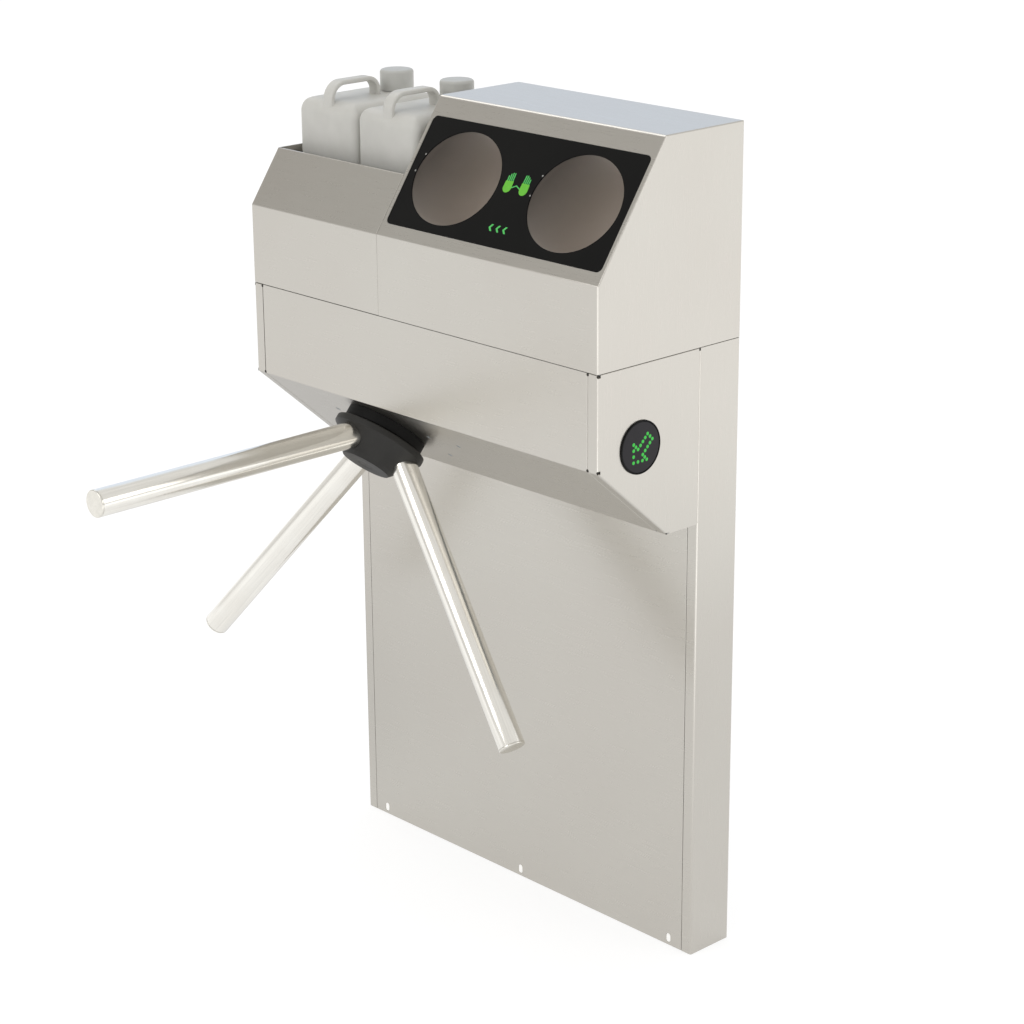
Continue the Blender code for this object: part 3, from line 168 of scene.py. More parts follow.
@dataclass(frozen=True)
class Finish:
    """A surface: what it is made of, its colours, gloss, and the scale of its texture.

    mottle_mm is the size of the soft patches between the two colours, and grit_mm the size of the
    fine relief, which relief_mm says how deep it is.
    """

    name: str
    colour: str
    second: str
    metallic: float = 0.0
    roughness: float = 0.5
    specular: float = 0.5
    mottle_mm: float = 120.0
    grit_mm: float = 0.8
    relief_mm: float = 0.01
    grain: Grain = Grain.NONE
    grain_mm: float = 1.2
    grain_contrast: float = 0.05
    scatter: float = 0.0
    coat: float = 0.0
    glow: str | None = None
    glow_strength: float = 0.0
    # This colour and the two fields below paint light and shade in: the colour is blended in along a
    # direction of the piece's own frame, between two distances.
    fade: str | None = None
    fade_towards: tuple[float, float, float] = (0.0, 0.0, 1.0)
    fade_mm: tuple[float, float] = (0.0, 100.0)

    @property
    def needs_own_place(self) -> bool:
        """Says whether the finish follows the piece's own frame."""
        return self.grain is Grain.DRAWN or self.fade is not None

    def material(self) -> bpy.types.Material:
        """Builds the material, or returns it when it was built before."""
        found = bpy.data.materials.get(self.name)
        if found:
            return found
        made = bpy.data.materials.new(self.name)
        made.use_nodes = True
        tree = made.node_tree
        shader = tree.nodes["Principled BSDF"]
        self._plain_values(shader)
        place = add_node(tree, "TexCoord").outputs["Object"]
        colour = self._mottled_colour(tree, place)
        # Painted light: blends in a lighter colour along a direction.
        if self.fade:
            colour = self._faded_colour(tree, colour)
        lined = self.grain is not Grain.NONE
        course, scale = (self._brushed(tree, place), 1.0) if lined else (place, 1 / (self.grit_mm * MM))
        height = add_node(tree, "TexNoise", {"Vector": course, "Scale": scale, "Detail": 2.0}).outputs["Fac"]
        if lined:
            spans = (1 - self.grain_contrast, 1.0), [self.roughness * share for share in ROUGHNESS_WAVER]
            shade, waver = (
                add_node(tree, "MapRange", dict(zip(RANGE_INPUTS, (height, *LINE_SPAN, *levels)))).outputs[0]
                for levels in spans)
            colour = add_node(tree, "VectorMath", {0: colour, "Scale": shade}, operation="SCALE").outputs[0]
            tree.links.new(waver, shader.inputs["Roughness"])
        bump = add_node(tree, "Bump", {"Strength": 1.0, "Distance": self.relief_mm * MM, "Height": height})
        tree.links.new(bump.outputs["Normal"], shader.inputs["Normal"])
        tree.links.new(colour, shader.inputs["Base Color"])
        return made

    def _plain_values(self, shader: bpy.types.Node) -> None:
        """Sets the values that are the same all over the surface."""
        values = {
            "Metallic": self.metallic, "Roughness": self.roughness, "Specular IOR Level": self.specular,
            "Subsurface Weight": self.scatter, "Subsurface Radius": SCATTER_RADIUS,
            "Coat Weight": self.coat, "Coat Roughness": COAT_ROUGHNESS,
        }
        if self.glow:
            values |= {"Emission Color": linear(self.glow), "Emission Strength": self.glow_strength}
        for name, value in values.items():
            shader.inputs[name].default_value = value

    def _mottled_colour(self, tree: Tree, place: Socket) -> Socket:
        """Returns a colour that drifts softly between the finish's two colours."""
        cloud = add_node(tree, "TexNoise", {
            "Vector": place, "Scale": 1 / (self.mottle_mm * MM), "Detail": 3.0, "Roughness": 0.55})
        share = add_node(tree, "MapRange", dict(zip(RANGE_INPUTS, (cloud.outputs["Fac"], *CLOUD_SPAN))))
        inputs = {0: share.outputs[0], 6: linear(self.colour), 7: linear(self.second)}
        return add_node(tree, "Mix", inputs, data_type="RGBA").outputs[2]

    def _faded_colour(self, tree: Tree, colour: Socket) -> Socket:
        """Returns the colour as it changes to a lighter colour along a direction of the piece's own frame: a
        painted gradient of light and shade.
        """
        own = add_node(tree, "Attribute", attribute_name=OWN_PLACE).outputs["Vector"]
        towards = tuple(Vector(self.fade_towards).normalized())
        way = add_node(tree, "VectorMath", {0: own, 1: towards}, operation="DOT_PRODUCT").outputs["Value"]
        reach = [end * MM for end in self.fade_mm]
        share = add_node(tree, "MapRange", dict(zip(RANGE_INPUTS, (way, *reach)))).outputs[0]
        return add_node(tree, "Mix", {0: share, 6: colour, 7: linear(self.fade)}, data_type="RGBA").outputs[2]

    def _brushed(self, tree: Tree, place: Socket) -> Socket:
        """Returns a place that is stretched along the brushing, over which noise draws fine lines.

        Sheet is brushed along its width, so there the noise is stretched along X, and on faces that
        look left or right along Z. A tube is drawn along its own length, the Z of the place attribute.
        """
        fine = 1 / (self.grain_mm * MM)
        long = fine / GRAIN_STRETCH
        if self.grain is Grain.DRAWN:
            own = add_node(tree, "Attribute", attribute_name=OWN_PLACE).outputs["Vector"]
            return add_node(tree, "Mapping", {"Vector": own, "Scale": (fine, fine, long)}).outputs["Vector"]
        level, upright = (
            add_node(tree, "Mapping", {"Vector": place, "Scale": scale}).outputs["Vector"]
            for scale in ((long, fine, fine), (fine, fine, long)))
        facing = add_node(tree, "NewGeometry").outputs["True Normal"]
        across = add_node(tree, "SeparateXYZ", {0: facing}).outputs["X"]
        size = add_node(tree, "Math", {0: across}, operation="ABSOLUTE").outputs[0]
        side = add_node(tree, "Math", {0: size, 1: SIDEWAYS}, operation="GREATER_THAN").outputs[0]
        return add_node(tree, "Mix", {0: side, 4: level, 5: upright}, data_type="VECTOR").outputs[1]


# Austenitic stainless sheet, belt-ground to a satin: warm grey, softly mirror-like, faint level lines.
SATIN_STEEL = Finish(
    "satin_stainless_sheet", "C8C5BE", "C5C1BA", metallic=1.0, roughness=0.30, mottle_mm=420.0,
    grain=Grain.SHEET, grain_mm=1.1, grain_contrast=0.006, relief_mm=0.0001)
# Round stainless tube, drawn and then polished: nearly a mirror, with darker lines along its length that are
# partly drawn grain and partly painted reflection of streaks.
POLISHED_TUBE = Finish(
    "polished_stainless_tube", "F3F1EB", "EEEBE4", metallic=1.0, roughness=0.17, mottle_mm=60.0,
    grain=Grain.DRAWN, grain_mm=3.4, grain_contrast=0.08, relief_mm=0.003)
# Steel pressings with a thin bluish zinc layer, mottled by its crystals.
ZINC_PLATE = Finish(
    "zinc_plated_steel", "B4B8BA", "A3A8AB", metallic=0.9, roughness=0.42, mottle_mm=9.0, grit_mm=1.5,
    relief_mm=0.004)
# Aluminium casting under a black satin powder coat, with a fine orange-peel skin.
COATED_CASTING = Finish(
    "black_coated_casting", "2A2927", "262523", roughness=0.50, specular=0.3, mottle_mm=30.0, grit_mm=1.1,
    relief_mm=0.010)
# Nylon moulding of the fixed ring and the bezels: deep black, matte, with a spark-eroded skin.
BLACK_NYLON = Finish(
    "black_nylon_moulding", "050505", "080807", roughness=0.6, specular=0.2, mottle_mm=20.0, grit_mm=0.7,
    relief_mm=0.008)
# Back-painted acrylic panel: black under a smooth, faintly glossy front.
BLACK_ACRYLIC = Finish(
    "black_acrylic_panel", "121211", "0F0F0F", roughness=0.28, specular=0.12, mottle_mm=90.0, grit_mm=2.0,
    relief_mm=0.0008)
# Smoked polycarbonate lens under the diodes: nearly black with a faint violet, soft gloss.
SMOKED_LENS = Finish(
    "smoked_polycarbonate_lens", "252327", "201E22", roughness=0.2, specular=0.15, mottle_mm=25.0,
    grit_mm=2.0, relief_mm=0.0008, coat=0.1)
# Vacuum-formed ABS bowls of the hand wells: warm taupe, satin, with painted light that makes them lighter
# towards the lower right, where light falls into the bowls.
TAUPE_ABS = Finish(
    "taupe_abs_bowl", "6E6863", "68625D", roughness=0.45, specular=0.35, mottle_mm=110.0, grit_mm=1.2,
    relief_mm=0.006, fade="DAD2CA", fade_towards=(0.66, -0.33, -0.72), fade_mm=(-48.0, 74.0))
# Blow-moulded polyethylene of the canisters: light grey, waxy, a little light goes into it.
GREY_POLYETHYLENE = Finish(
    "grey_polyethylene", "CECDC8", "C7C6C1", roughness=0.46, specular=0.4, mottle_mm=45.0, grit_mm=1.6,
    relief_mm=0.015, scatter=0.15)
# Injection-moulded polypropylene of the caps: a shade darker and smoother than the canisters.
GREY_POLYPROPYLENE = Finish(
    "grey_polypropylene", "BDBDB9", "B6B6B2", roughness=0.40, specular=0.4, mottle_mm=30.0, grit_mm=1.0,
    relief_mm=0.008, scatter=0.1)
# Glass-fibre circuit board under green solder mask.
CIRCUIT_BOARD = Finish(
    "solder_masked_board", "1F5B38", "27643F", roughness=0.35, mottle_mm=12.0, grit_mm=2.4, relief_mm=0.02)
# Fabric-backed rubber of the drive belt: black and dull.
BELT_RUBBER = Finish(
    "belt_rubber", "1B1B1A", "232322", roughness=0.8, mottle_mm=8.0, grit_mm=0.9, relief_mm=0.02)
# Glass-filled nylon of the pump bodies: dark grey, matte.
PUMP_NYLON = Finish(
    "pump_nylon", "4A4B4D", "434446", roughness=0.55, mottle_mm=18.0, grit_mm=1.0, relief_mm=0.02)
# Dark slate enamel on the motor and the solenoids.
SLATE_ENAMEL = Finish(
    "slate_enamel", "33383D", "2D3136", metallic=0.1, roughness=0.38, mottle_mm=22.0, grit_mm=1.3,
    relief_mm=0.01)
# Painted shade in the bend reliefs: dark grey discs that stand for the shadow inside the holes.
SHADOW_BLACK = Finish("dark_relief_sealant", "4A4845", "403E3B", roughness=0.9, specular=0.1, relief_mm=0.01)
# Green light-emitting diodes on the lens, small and bright.
GREEN_DIODE = Finish(
    "green_diode", "1F9A2B", "25A232", roughness=0.3, mottle_mm=5.0, relief_mm=0.002, glow="25B035",
    glow_strength=0.5)
# Yellowish green print of the palms, lit from behind.
GREEN_SIGN = Finish(
    "green_lit_sign", "4E9E28", "57A52D", roughness=0.35, mottle_mm=9.0, relief_mm=0.002, glow="66B62C",
    glow_strength=0.32)
# Clear sensor windows beside the wells, small and grey.
SENSOR_CLEAR = Finish("sensor_window", "8F8F8C", "A5A5A2", roughness=0.2, mottle_mm=3.0, relief_mm=0.002)
# Cooler green print of the fingers and chevrons, lit from behind.
GREEN_CHEVRON = Finish(
    "green_lit_chevron", "33913F", "3B9A48", roughness=0.35, mottle_mm=9.0, relief_mm=0.002, glow="4DB25A",
    glow_strength=0.5)
# Bright ground steel of the arms' end discs, the bearings and the plungers.
GROUND_STEEL = Finish(
    "ground_bright_steel", "E4E1D9", "DBD8D0", metallic=1.0, roughness=0.2, mottle_mm=12.0, grit_mm=0.6,
    relief_mm=0.0015)
# Grey beige silicone in the joint between the two sheet boxes.
JOINT_FILLER = Finish(
    "grey_silicone_joint", "99958D", "928E86", roughness=0.6, mottle_mm=20.0, relief_mm=0.01)
# Painted light in the foot's slots: white plugs with a faint glow, for the bright floor seen through them.
SLOT_PAINTED_LIGHT = Finish(
    "white_nylon_plug", "F8F7F4", "F2F1EE", roughness=0.5, mottle_mm=8.0, relief_mm=0.01, glow="FFFFFF",
    glow_strength=0.25)

SLOT_FINISH = {
    "satin_steel": SATIN_STEEL,
    "polished_steel": GROUND_STEEL,
    "zinc_plate": ZINC_PLATE,
    "cast_black": COATED_CASTING,
    "black_plastic": BLACK_NYLON,
    "gloss_black": BLACK_ACRYLIC,
    "smoked_lens": SMOKED_LENS,
    "well_plastic": TAUPE_ABS,
    "canister_grey": GREY_POLYETHYLENE,
    "cap_grey": GREY_POLYPROPYLENE,
    "board_green": CIRCUIT_BOARD,
    "belt_rubber": BELT_RUBBER,
    "pump_plastic": PUMP_NYLON,
    "motor_paint": SLATE_ENAMEL,
}


def place_matrix(origin: Point, right: Point, up: Point) -> Matrix:
    """Returns a placing matrix whose X and Y directions are given, and Z is their cross product.

    Args:
        origin: Where the piece's own zero goes.
        right: Direction of the piece's X.
        up: Direction of the piece's Y.

    Returns:
        A four by four matrix.
    """
    x, y = Vector(right).normalized(), Vector(up).normalized()
    z = x.cross(y)
    turned = Matrix((x, y, z)).transposed().to_4x4()
    return Matrix.Translation(Vector(origin)) @ turned


def grid_mesh(name: str, grid: np.ndarray, wrap_rows: bool = False) -> Mesh:
    """Puts a grid of points, whose last column joins its first, into a mesh of quads.

    Args:
        name: The mesh's name.
        grid: Points in an array of rows, columns and three coordinates.
        wrap_rows: Whether the last row joins the first.

    Returns:
        A mesh with its doubles merged and its faces outwards.
    """
    rows, columns = grid.shape[:2]
    index = np.arange(rows * columns).reshape(rows, columns)
    following = np.roll(index, -1, axis=0)
    low, high = (index, following) if wrap_rows else (index[:-1], following[:-1])
    quads = np.stack((low, np.roll(low, -1, axis=1), np.roll(high, -1, axis=1), high), axis=-1)
    mesh = bpy.data.meshes.new(name)
    mesh.from_pydata(grid.reshape(-1, 3).tolist(), [], quads.reshape(-1, 4).tolist())
    return settle(mesh)


def closed_ends(grid: np.ndarray) -> np.ndarray:
    """Adds to a grid a first and a last row that lie in the middle of its end rows, which closes it."""
    ends = grid[[0, -1]].mean(axis=1, keepdims=True) * np.ones((1, grid.shape[1], 1))
    return np.concatenate((ends[:1], grid, ends[1:]))


def settle(mesh: Mesh, packed: bool = False) -> Mesh:
    """Merges a mesh's doubles, which closes seams and poles.

    A new mesh also gets its faces turned outwards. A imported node's copy has them so, and loses the edges
    inside its flat faces.
    """
    work = bmesh.new()
    work.from_mesh(mesh)
    bmesh.ops.remove_doubles(work, verts=work.verts, dist=MERGE_DISTANCE)
    if packed:
        bmesh.ops.dissolve_limit(
            work, angle_limit=math.radians(FLAT_DEGREES), use_dissolve_boundaries=False, verts=work.verts,
            edges=work.edges, delimit=set())
    else:
        bmesh.ops.recalc_face_normals(work, faces=work.faces)
    work.to_mesh(mesh)
    work.free()
    return mesh


def keep_own_place(mesh: Mesh) -> None:
    """Stores where each vertex is in the mesh's own frame, for a grain that follows the piece."""
    place = np.empty(len(mesh.vertices) * 3, dtype=np.float32)
    mesh.vertices.foreach_get("co", place)
    mesh.attributes.new(OWN_PLACE, "FLOAT_VECTOR", "POINT").data.foreach_set("vector", place)


def finish_mesh(mesh: Mesh, material: bpy.types.Material) -> None:
    """Gives a mesh its one material and smooth faces with hard edges between them."""
    mesh.shade_smooth()
    mesh.set_sharp_from_angle(angle=math.radians(SHARP_DEGREES))
    mesh.materials.clear()
    mesh.materials.append(material)


def make_piece(
    name: str, mesh: Mesh, finish: Finish, body: str, place: Matrix | None = None,
) -> Piece:
    """Links a mesh as a dressed piece that rides on a body, with its place in its mesh.

    Args:
        name: The piece's name.
        mesh: Its mesh in its own frame.
        finish: Its surface.
        body: The moving or fixed body that carries it.
        place: Where the mesh goes, or None where it is already in place.

    Returns:
        The new object.
    """
    if finish.needs_own_place:
        keep_own_place(mesh)
    if place is not None:
        mesh.transform(place)
    finish_mesh(mesh, finish.material())
    piece = bpy.data.objects.new(name, mesh)
    bpy.context.scene.collection.objects.link(piece)
    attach(piece, body)
    LOG.info("%s rides on %s", name, body)
    return piece


def bevelled(piece: Piece, width: float, segments: int = 3, angle: float = 35.0) -> None:
    """Rounds a piece's edges that are sharper than an angle in degrees by a small radius."""
    rounding = piece.modifiers.new("rounded_edges", "BEVEL")
    rounding.width = width
    rounding.segments = segments
    rounding.limit_method = "ANGLE"
    rounding.angle_limit = math.radians(angle)
    rounding.harden_normals = True


def rounded_corners(
    points: Sequence[Point], radii: Sequence[float], steps: int = 5, closed: bool = True,
) -> np.ndarray:
    """Rounds the corners of a flat line of points.

    Each corner with a radius becomes an arc that touches both of its sides: the arc's centre lies on
    the corner's bisector, its radius over the sine of half the corner's angle away.

    Args:
        points: Corners in order, two coordinates each.
        radii: One radius for each corner, or zero to keep it sharp.
        steps: Arc steps for each rounded corner.
        closed: Whether the line closes on itself.

    Returns:
        The rounded line as an array of points.
    """
    points = np.asarray(points, float)
    result: list[np.ndarray] = []
    count = len(points)
    for i, (corner, radius) in enumerate(zip(points, radii)):
        if radius <= 0 or (not closed and i in (0, count - 1)):
            result.append(corner[None])
            continue
        before = points[i - 1] - corner
        after = points[(i + 1) % count] - corner
        before, after = before / np.linalg.norm(before), after / np.linalg.norm(after)
        half = math.acos(float(np.clip(before @ after, -1, 1))) / 2
        bisector = (before + after) / np.linalg.norm(before + after)
        centre = corner + bisector * radius / math.sin(half)
        first = corner + before * radius / math.tan(half) - centre
        last = corner + after * radius / math.tan(half) - centre
        sweep = math.atan2(first[0] * last[1] - first[1] * last[0], float(first @ last))
        turn = np.linspace(0, sweep, steps + 1)
        cos, sin = np.cos(turn), np.sin(turn)
        arc = np.stack((first[0] * cos - first[1] * sin, first[0] * sin + first[1] * cos), axis=1)
        result.append(centre + arc)
    return np.concatenate(result)


def lathe(name: str, profile: Sequence[Point], steps: int, wrap_rows: bool = True) -> Mesh:
    """Turns a profile of radius and height around Z.

    Point (i, j) is (r_i cos a_j, r_i sin a_j, z_i), with the angles a_j spread evenly over a turn.

    Args:
        name: The mesh's name.
        profile: Rows of radius and height. A row of radius zero closes to a pole.
        steps: How many angles.
        wrap_rows: Whether the profile closes on itself.

    Returns:
        The turned mesh.
    """
    angle = np.linspace(0, math.tau, steps, endpoint=False)
    radius, height = np.asarray(profile, float).T[:, :, None]
    grid = np.stack(np.broadcast_arrays(radius * np.cos(angle), radius * np.sin(angle), height), axis=-1)
    return grid_mesh(name, grid, wrap_rows=wrap_rows)


def rod(name: str, radius: float, span: tuple[float, float], steps: int, place: Matrix) -> Mesh:
    """Makes a round bar along Z between two heights, and puts it in its place."""
    first, last = span
    mesh = lathe(name, [(0, first), (radius, first), (radius, last), (0, last)], steps, False)
    mesh.transform(place)
    return mesh


def circle(steps: int) -> np.ndarray:
    """Returns points of the unit circle, spread evenly."""
    angle = np.linspace(0, math.tau, steps, endpoint=False)
    return np.stack((np.cos(angle), np.sin(angle)), axis=1)


def flat_slab(name: str, outline: np.ndarray, low: float, high: float) -> Mesh:
    """Makes a slab from a flat outline between two heights, with its two faces as single polygons."""
    count = len(outline)
    bottom = np.column_stack((outline, np.full(count, low)))
    top = np.column_stack((outline, np.full(count, high)))
    ring = np.arange(count)
    following = np.roll(ring, -1)
    walls = np.stack((ring, following, following + count, ring + count), axis=1).tolist()
    mesh = bpy.data.meshes.new(name)
    faces = walls + [ring[::-1].tolist(), (ring + count).tolist()]
    mesh.from_pydata(np.concatenate((bottom, top)).tolist(), [], faces)
    return settle(mesh)


def join_meshes(name: str, meshes: Iterable[Mesh]) -> Mesh:
    """Joins several meshes into one."""
    work = bmesh.new()
    for mesh in meshes:
        work.from_mesh(mesh)
        bpy.data.meshes.remove(mesh)
    joined = bpy.data.meshes.new(name)
    work.to_mesh(joined)
    work.free()
    return joined


def carved(target: Mesh, tools: Iterable[Mesh], operation: str) -> Mesh:
    """Cuts other solids from a mesh, or joins them to it, one after another.

    Args:
        target: The mesh that is changed.
        tools: Closed meshes in the same frame.
        operation: DIFFERENCE or UNION.

    Returns:
        The new mesh.
    """
    scene = bpy.context.scene.collection.objects
    holder = bpy.data.objects.new(target.name + "_stock", target)
    scene.link(holder)
    helpers = []
    for tool in tools:
        helper = bpy.data.objects.new(tool.name + "_tool", tool)
        scene.link(helper)
        step = holder.modifiers.new("carve", "BOOLEAN")
        step.operation = operation
        step.solver = "EXACT"
        step.object = helper
        helpers.append(helper)
    bpy.context.view_layer.update()
    graph = bpy.context.evaluated_depsgraph_get()
    result = bpy.data.meshes.new_from_object(holder.evaluated_get(graph))
    for helper in (*helpers, holder):
        bpy.data.objects.remove(helper, do_unlink=True)
    return result


@dataclass(frozen=True)
class Bend:
    """A straight outer edge of a sheet piece and the radius that it is folded or ground to."""

    point: Point
    along: Point
    radius: float

    def holds(self, place: np.ndarray) -> bool:
        """Says whether a point lies on the edge, as near as EDGE_REACH."""
        along = np.array(self.along, float)
        offset = place - np.array(self.point, float)
        away = offset - along * (offset @ along) / (along @ along)
        return bool(np.linalg.norm(away) < EDGE_REACH)


@dataclass
class SheetWork:
    """Rebuilds sheet metal nodes with real bend radii and softened sheet edges."""

    edge_radius: float = 0.5 * MM

    def dress(self, node: str, bends: Sequence[Bend], cuts: Sequence[Mesh] = ()) -> None:
        """Makes the finished piece that replaces a sheet metal node.

        Args:
            node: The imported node.
            bends: Its outer folded edges.
            cuts: Small closed meshes that are cut out of it.
        """
        mesh = FRAME["nodes"][node].data.copy()
        settle(mesh, packed=True)
        mesh.name = node + "_skin"
        slot = slot_of(node)
        piece = make_piece(node + "_skin", mesh, SLOT_FINISH[slot], STAND)
        largest = max((bend.radius for bend in bends), default=0.0)
        if bends:
            self._weigh(mesh, bends, largest)
            folding = piece.modifiers.new("bend_radii", "BEVEL")
            folding.width = largest
            folding.segments = 5
            folding.limit_method = "WEIGHT"
            folding.harden_normals = True
        bevelled(piece, self.edge_radius, segments=2, angle=40.0)
        if cuts:
            self._carve(piece, cuts)
        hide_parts(node)

    @staticmethod
    def _carve(piece: Piece, cuts: Sequence[Mesh]) -> None:
        """Cuts small solids from a sheet after its folds are rounded, so that they don't narrow the folds."""
        bpy.context.view_layer.update()
        graph = bpy.context.evaluated_depsgraph_get()
        material = piece.data.materials[0]
        folded = bpy.data.meshes.new_from_object(piece.evaluated_get(graph))
        piece.modifiers.clear()
        mesh = carved(folded, cuts, "DIFFERENCE")
        normals = mesh.attributes.get("custom_normal")
        if normals:
            mesh.attributes.remove(normals)
        finish_mesh(mesh, material)
        mesh.name = piece.name
        piece.data = mesh
        piece.modifiers.new("even_normals", "WEIGHTED_NORMAL").keep_sharp = True

    @staticmethod
    def _weigh(mesh: Mesh, bends: Sequence[Bend], largest: float) -> None:
        """Writes each bend's share of the largest radius on the edges that lie on it."""
        weights = mesh.attributes.new("bevel_weight_edge", "FLOAT", "EDGE")
        for edge in mesh.edges:
            ends = [np.array(mesh.vertices[i].co, float) for i in edge.vertices]
            for bend in bends:
                if all(bend.holds(end) for end in ends):
                    weights.data[edge.index].value = bend.radius / largest


def slot_of(node: str) -> str:
    """Returns the record's material slot of a node."""
    return next(part["material_slot"] for part in FRAME["record"]["subparts"] if part["node"] == node)


@dataclass
class SheetLines:
    """The straight lines of the cabinet's side view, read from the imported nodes."""

    half: float = 0.0
    front_y: float = 0.0
    pedestal_y: float = 0.0
    back_y: float = 0.0
    seam_z: float = 0.0
    low_z: float = 0.852
    bottom_z: float = 0.0
    cover_edge: float = 1.3 * MM
    slope_y: float = 0.0
    bend_z: float = 1.129
    top_z: float = 0.0
    top_y: float = -0.1215
    lip_z: float = 0.0
    divide_x: float = 0.0

    def __post_init__(self) -> None:
        """Reads the lines from the nodes' boxes."""
        pedestal, housing, console, bay, cover = (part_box(node) for node in (
            "pedestal_body", "housing_side_right", "console_shell", "bay_shell", "front_cover"))
        self.half, self.pedestal_y, self.back_y = pedestal[1].x, pedestal[0].y, pedestal[1].y
        self.seam_z, self.front_y, self.bottom_z = pedestal[1].z, housing[0].y, housing[0].z
        self.slope_y = cover[1].y - self.cover_edge
        self.top_z, self.lip_z, self.divide_x = console[1].z, bay[1].z, console[0].x


@dataclass
class Pedestal:
    """The slim upright: folded body and front panel."""

    fold: float = 3.5 * MM
    rear_fold: float = 2.5 * MM

    def build(self, work: SheetWork, lines: SheetLines) -> None:
        """Dresses the pedestal's body and its front panel."""
        bends = [
            Bend((sign * lines.half, y, 0), UP, radius)
            for sign in (-1, 1)
            for y, radius in ((lines.pedestal_y, self.fold), (lines.back_y, self.rear_fold))
        ]
        work.dress("pedestal_body", bends)
        work.dress("pedestal_front_panel", [])


@dataclass
class Housing:
    """The turnstile's housing: two side pans and the bent front cover."""

    return_width: float = 20.0 * MM
    fold: float = 3.0 * MM
    slope_fold: float = 2.5 * MM
    cover_fold: float = 2.0 * MM
    top_edge: float = 1.2 * MM
    cover_edge: float = 1.0 * MM
    relief_radius: float = 2.5 * MM
    relief_below: float = 2.2 * MM
    relief_above: float = 1.8 * MM
    relief_inside: float = 0.25 * MM
    relief_depth: float = 6.0 * MM
    pin_fit: float = 0.05 * MM
    pin_sunk: float = 0.5 * MM
    pin_back: float = 2.5 * MM
    pin_top: float = 0.1 * MM
    underside_screws: tuple[tuple[float, float], ...] = (
        (-0.258, 0.076), (-0.038, 0.076), (-0.258, 0.136), (-0.038, 0.136), (0.032, 0.076))

    def build(self, work: SheetWork, lines: SheetLines, places: Places) -> None:
        """Dresses both side pans and the front cover."""
        front_low = (lines.front_y, lines.low_z)
        slope = Vector((0, lines.slope_y - lines.front_y, lines.bottom_z - lines.low_z))
        for side in Side:
            x = side.value * lines.half
            bends = [
                Bend((x, lines.front_y, 0), UP, self.fold),
                Bend((x, *front_low), slope, self.slope_fold),
                Bend((0, *front_low), RIGHT, self.cover_fold),
                Bend((0, lines.front_y, lines.seam_z), RIGHT, self.top_edge),
                Bend((x, 0, lines.seam_z), BACK, self.top_edge),
            ]
            work.dress("housing_side_" + side.word, bends, self._reliefs(lines, side))
            self._pins(lines, side)
        screw = Fastener()
        spots = [places.underside(x, down) for x, down in self.underside_screws]
        cuts = [screw.pocket_tool(spot) for spot in spots]
        bends = [Bend((0, *front_low), RIGHT, self.cover_fold)]
        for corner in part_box("front_cover"):
            bends.append(Bend((corner.x, lines.front_y, 0), UP, self.cover_edge))
            bends.append(Bend((corner.x, *front_low), slope, self.cover_edge))
        cuts += [tool for side in Side for tool in self._reliefs(lines, side)]
        work.dress("front_cover", bends, cuts)
        for number, spot in enumerate(spots):
            screw.build(f"underside_screw_{number}", spot)

    def _spots(self, lines: SheetLines, side: Side) -> list[Matrix]:
        """Returns the frames of the round bend reliefs, with Z out of the sheet, where a pan's folds meet."""
        x = side.value * lines.half
        inner = side.value * (lines.half - self.return_width - self.relief_inside)
        top, low = lines.seam_z - self.relief_below, lines.low_z + self.relief_above
        front = [
            (across, y, z)
            for y, z in ((lines.front_y, top), (lines.front_y, low), (lines.slope_y, lines.bottom_z))
            for across in (x, inner)
        ]
        frames = [place_matrix(spot, RIGHT, UP) for spot in front]
        frames.append(place_matrix((x, lines.pedestal_y, top), (0, side.value, 0), UP))
        return frames

    def _reliefs(self, lines: SheetLines, side: Side) -> list[Mesh]:
        """Makes the cutters of the reliefs."""
        span = (self.relief_depth, -self.relief_depth)
        return [rod("pin", self.relief_radius, span, PIN_STEPS, frame) for frame in self._spots(lines, side)]

    def _pins(self, lines: SheetLines, side: Side) -> None:
        """Closes the reliefs from inside with painted shade: dark discs, trimmed to the housing's own
        outline, that stand for the shadow in the holes.
        """
        low = (-lines.half + self.pin_sunk, lines.front_y + self.pin_sunk, lines.bottom_z)
        high = (lines.half - self.pin_sunk, 0.0, lines.seam_z - self.pin_top)
        radius, span = self.relief_radius - self.pin_fit, (-self.pin_sunk, -self.pin_back)
        pins = []
        for frame in self._spots(lines, side):
            pin = rod("pin", radius, span, PIN_STEPS, frame)
            place = np.empty((len(pin.vertices), 3), dtype=np.float32)
            pin.vertices.foreach_get("co", place.ravel())
            pin.vertices.foreach_set("co", np.clip(place, low, high).ravel())
            pins.append(settle(pin))
        # Painted shade: dark discs for the shadow inside the relief holes.
        make_piece(
            "relief_sealant_" + side.word, join_meshes("pins", pins), SHADOW_BLACK, STAND)


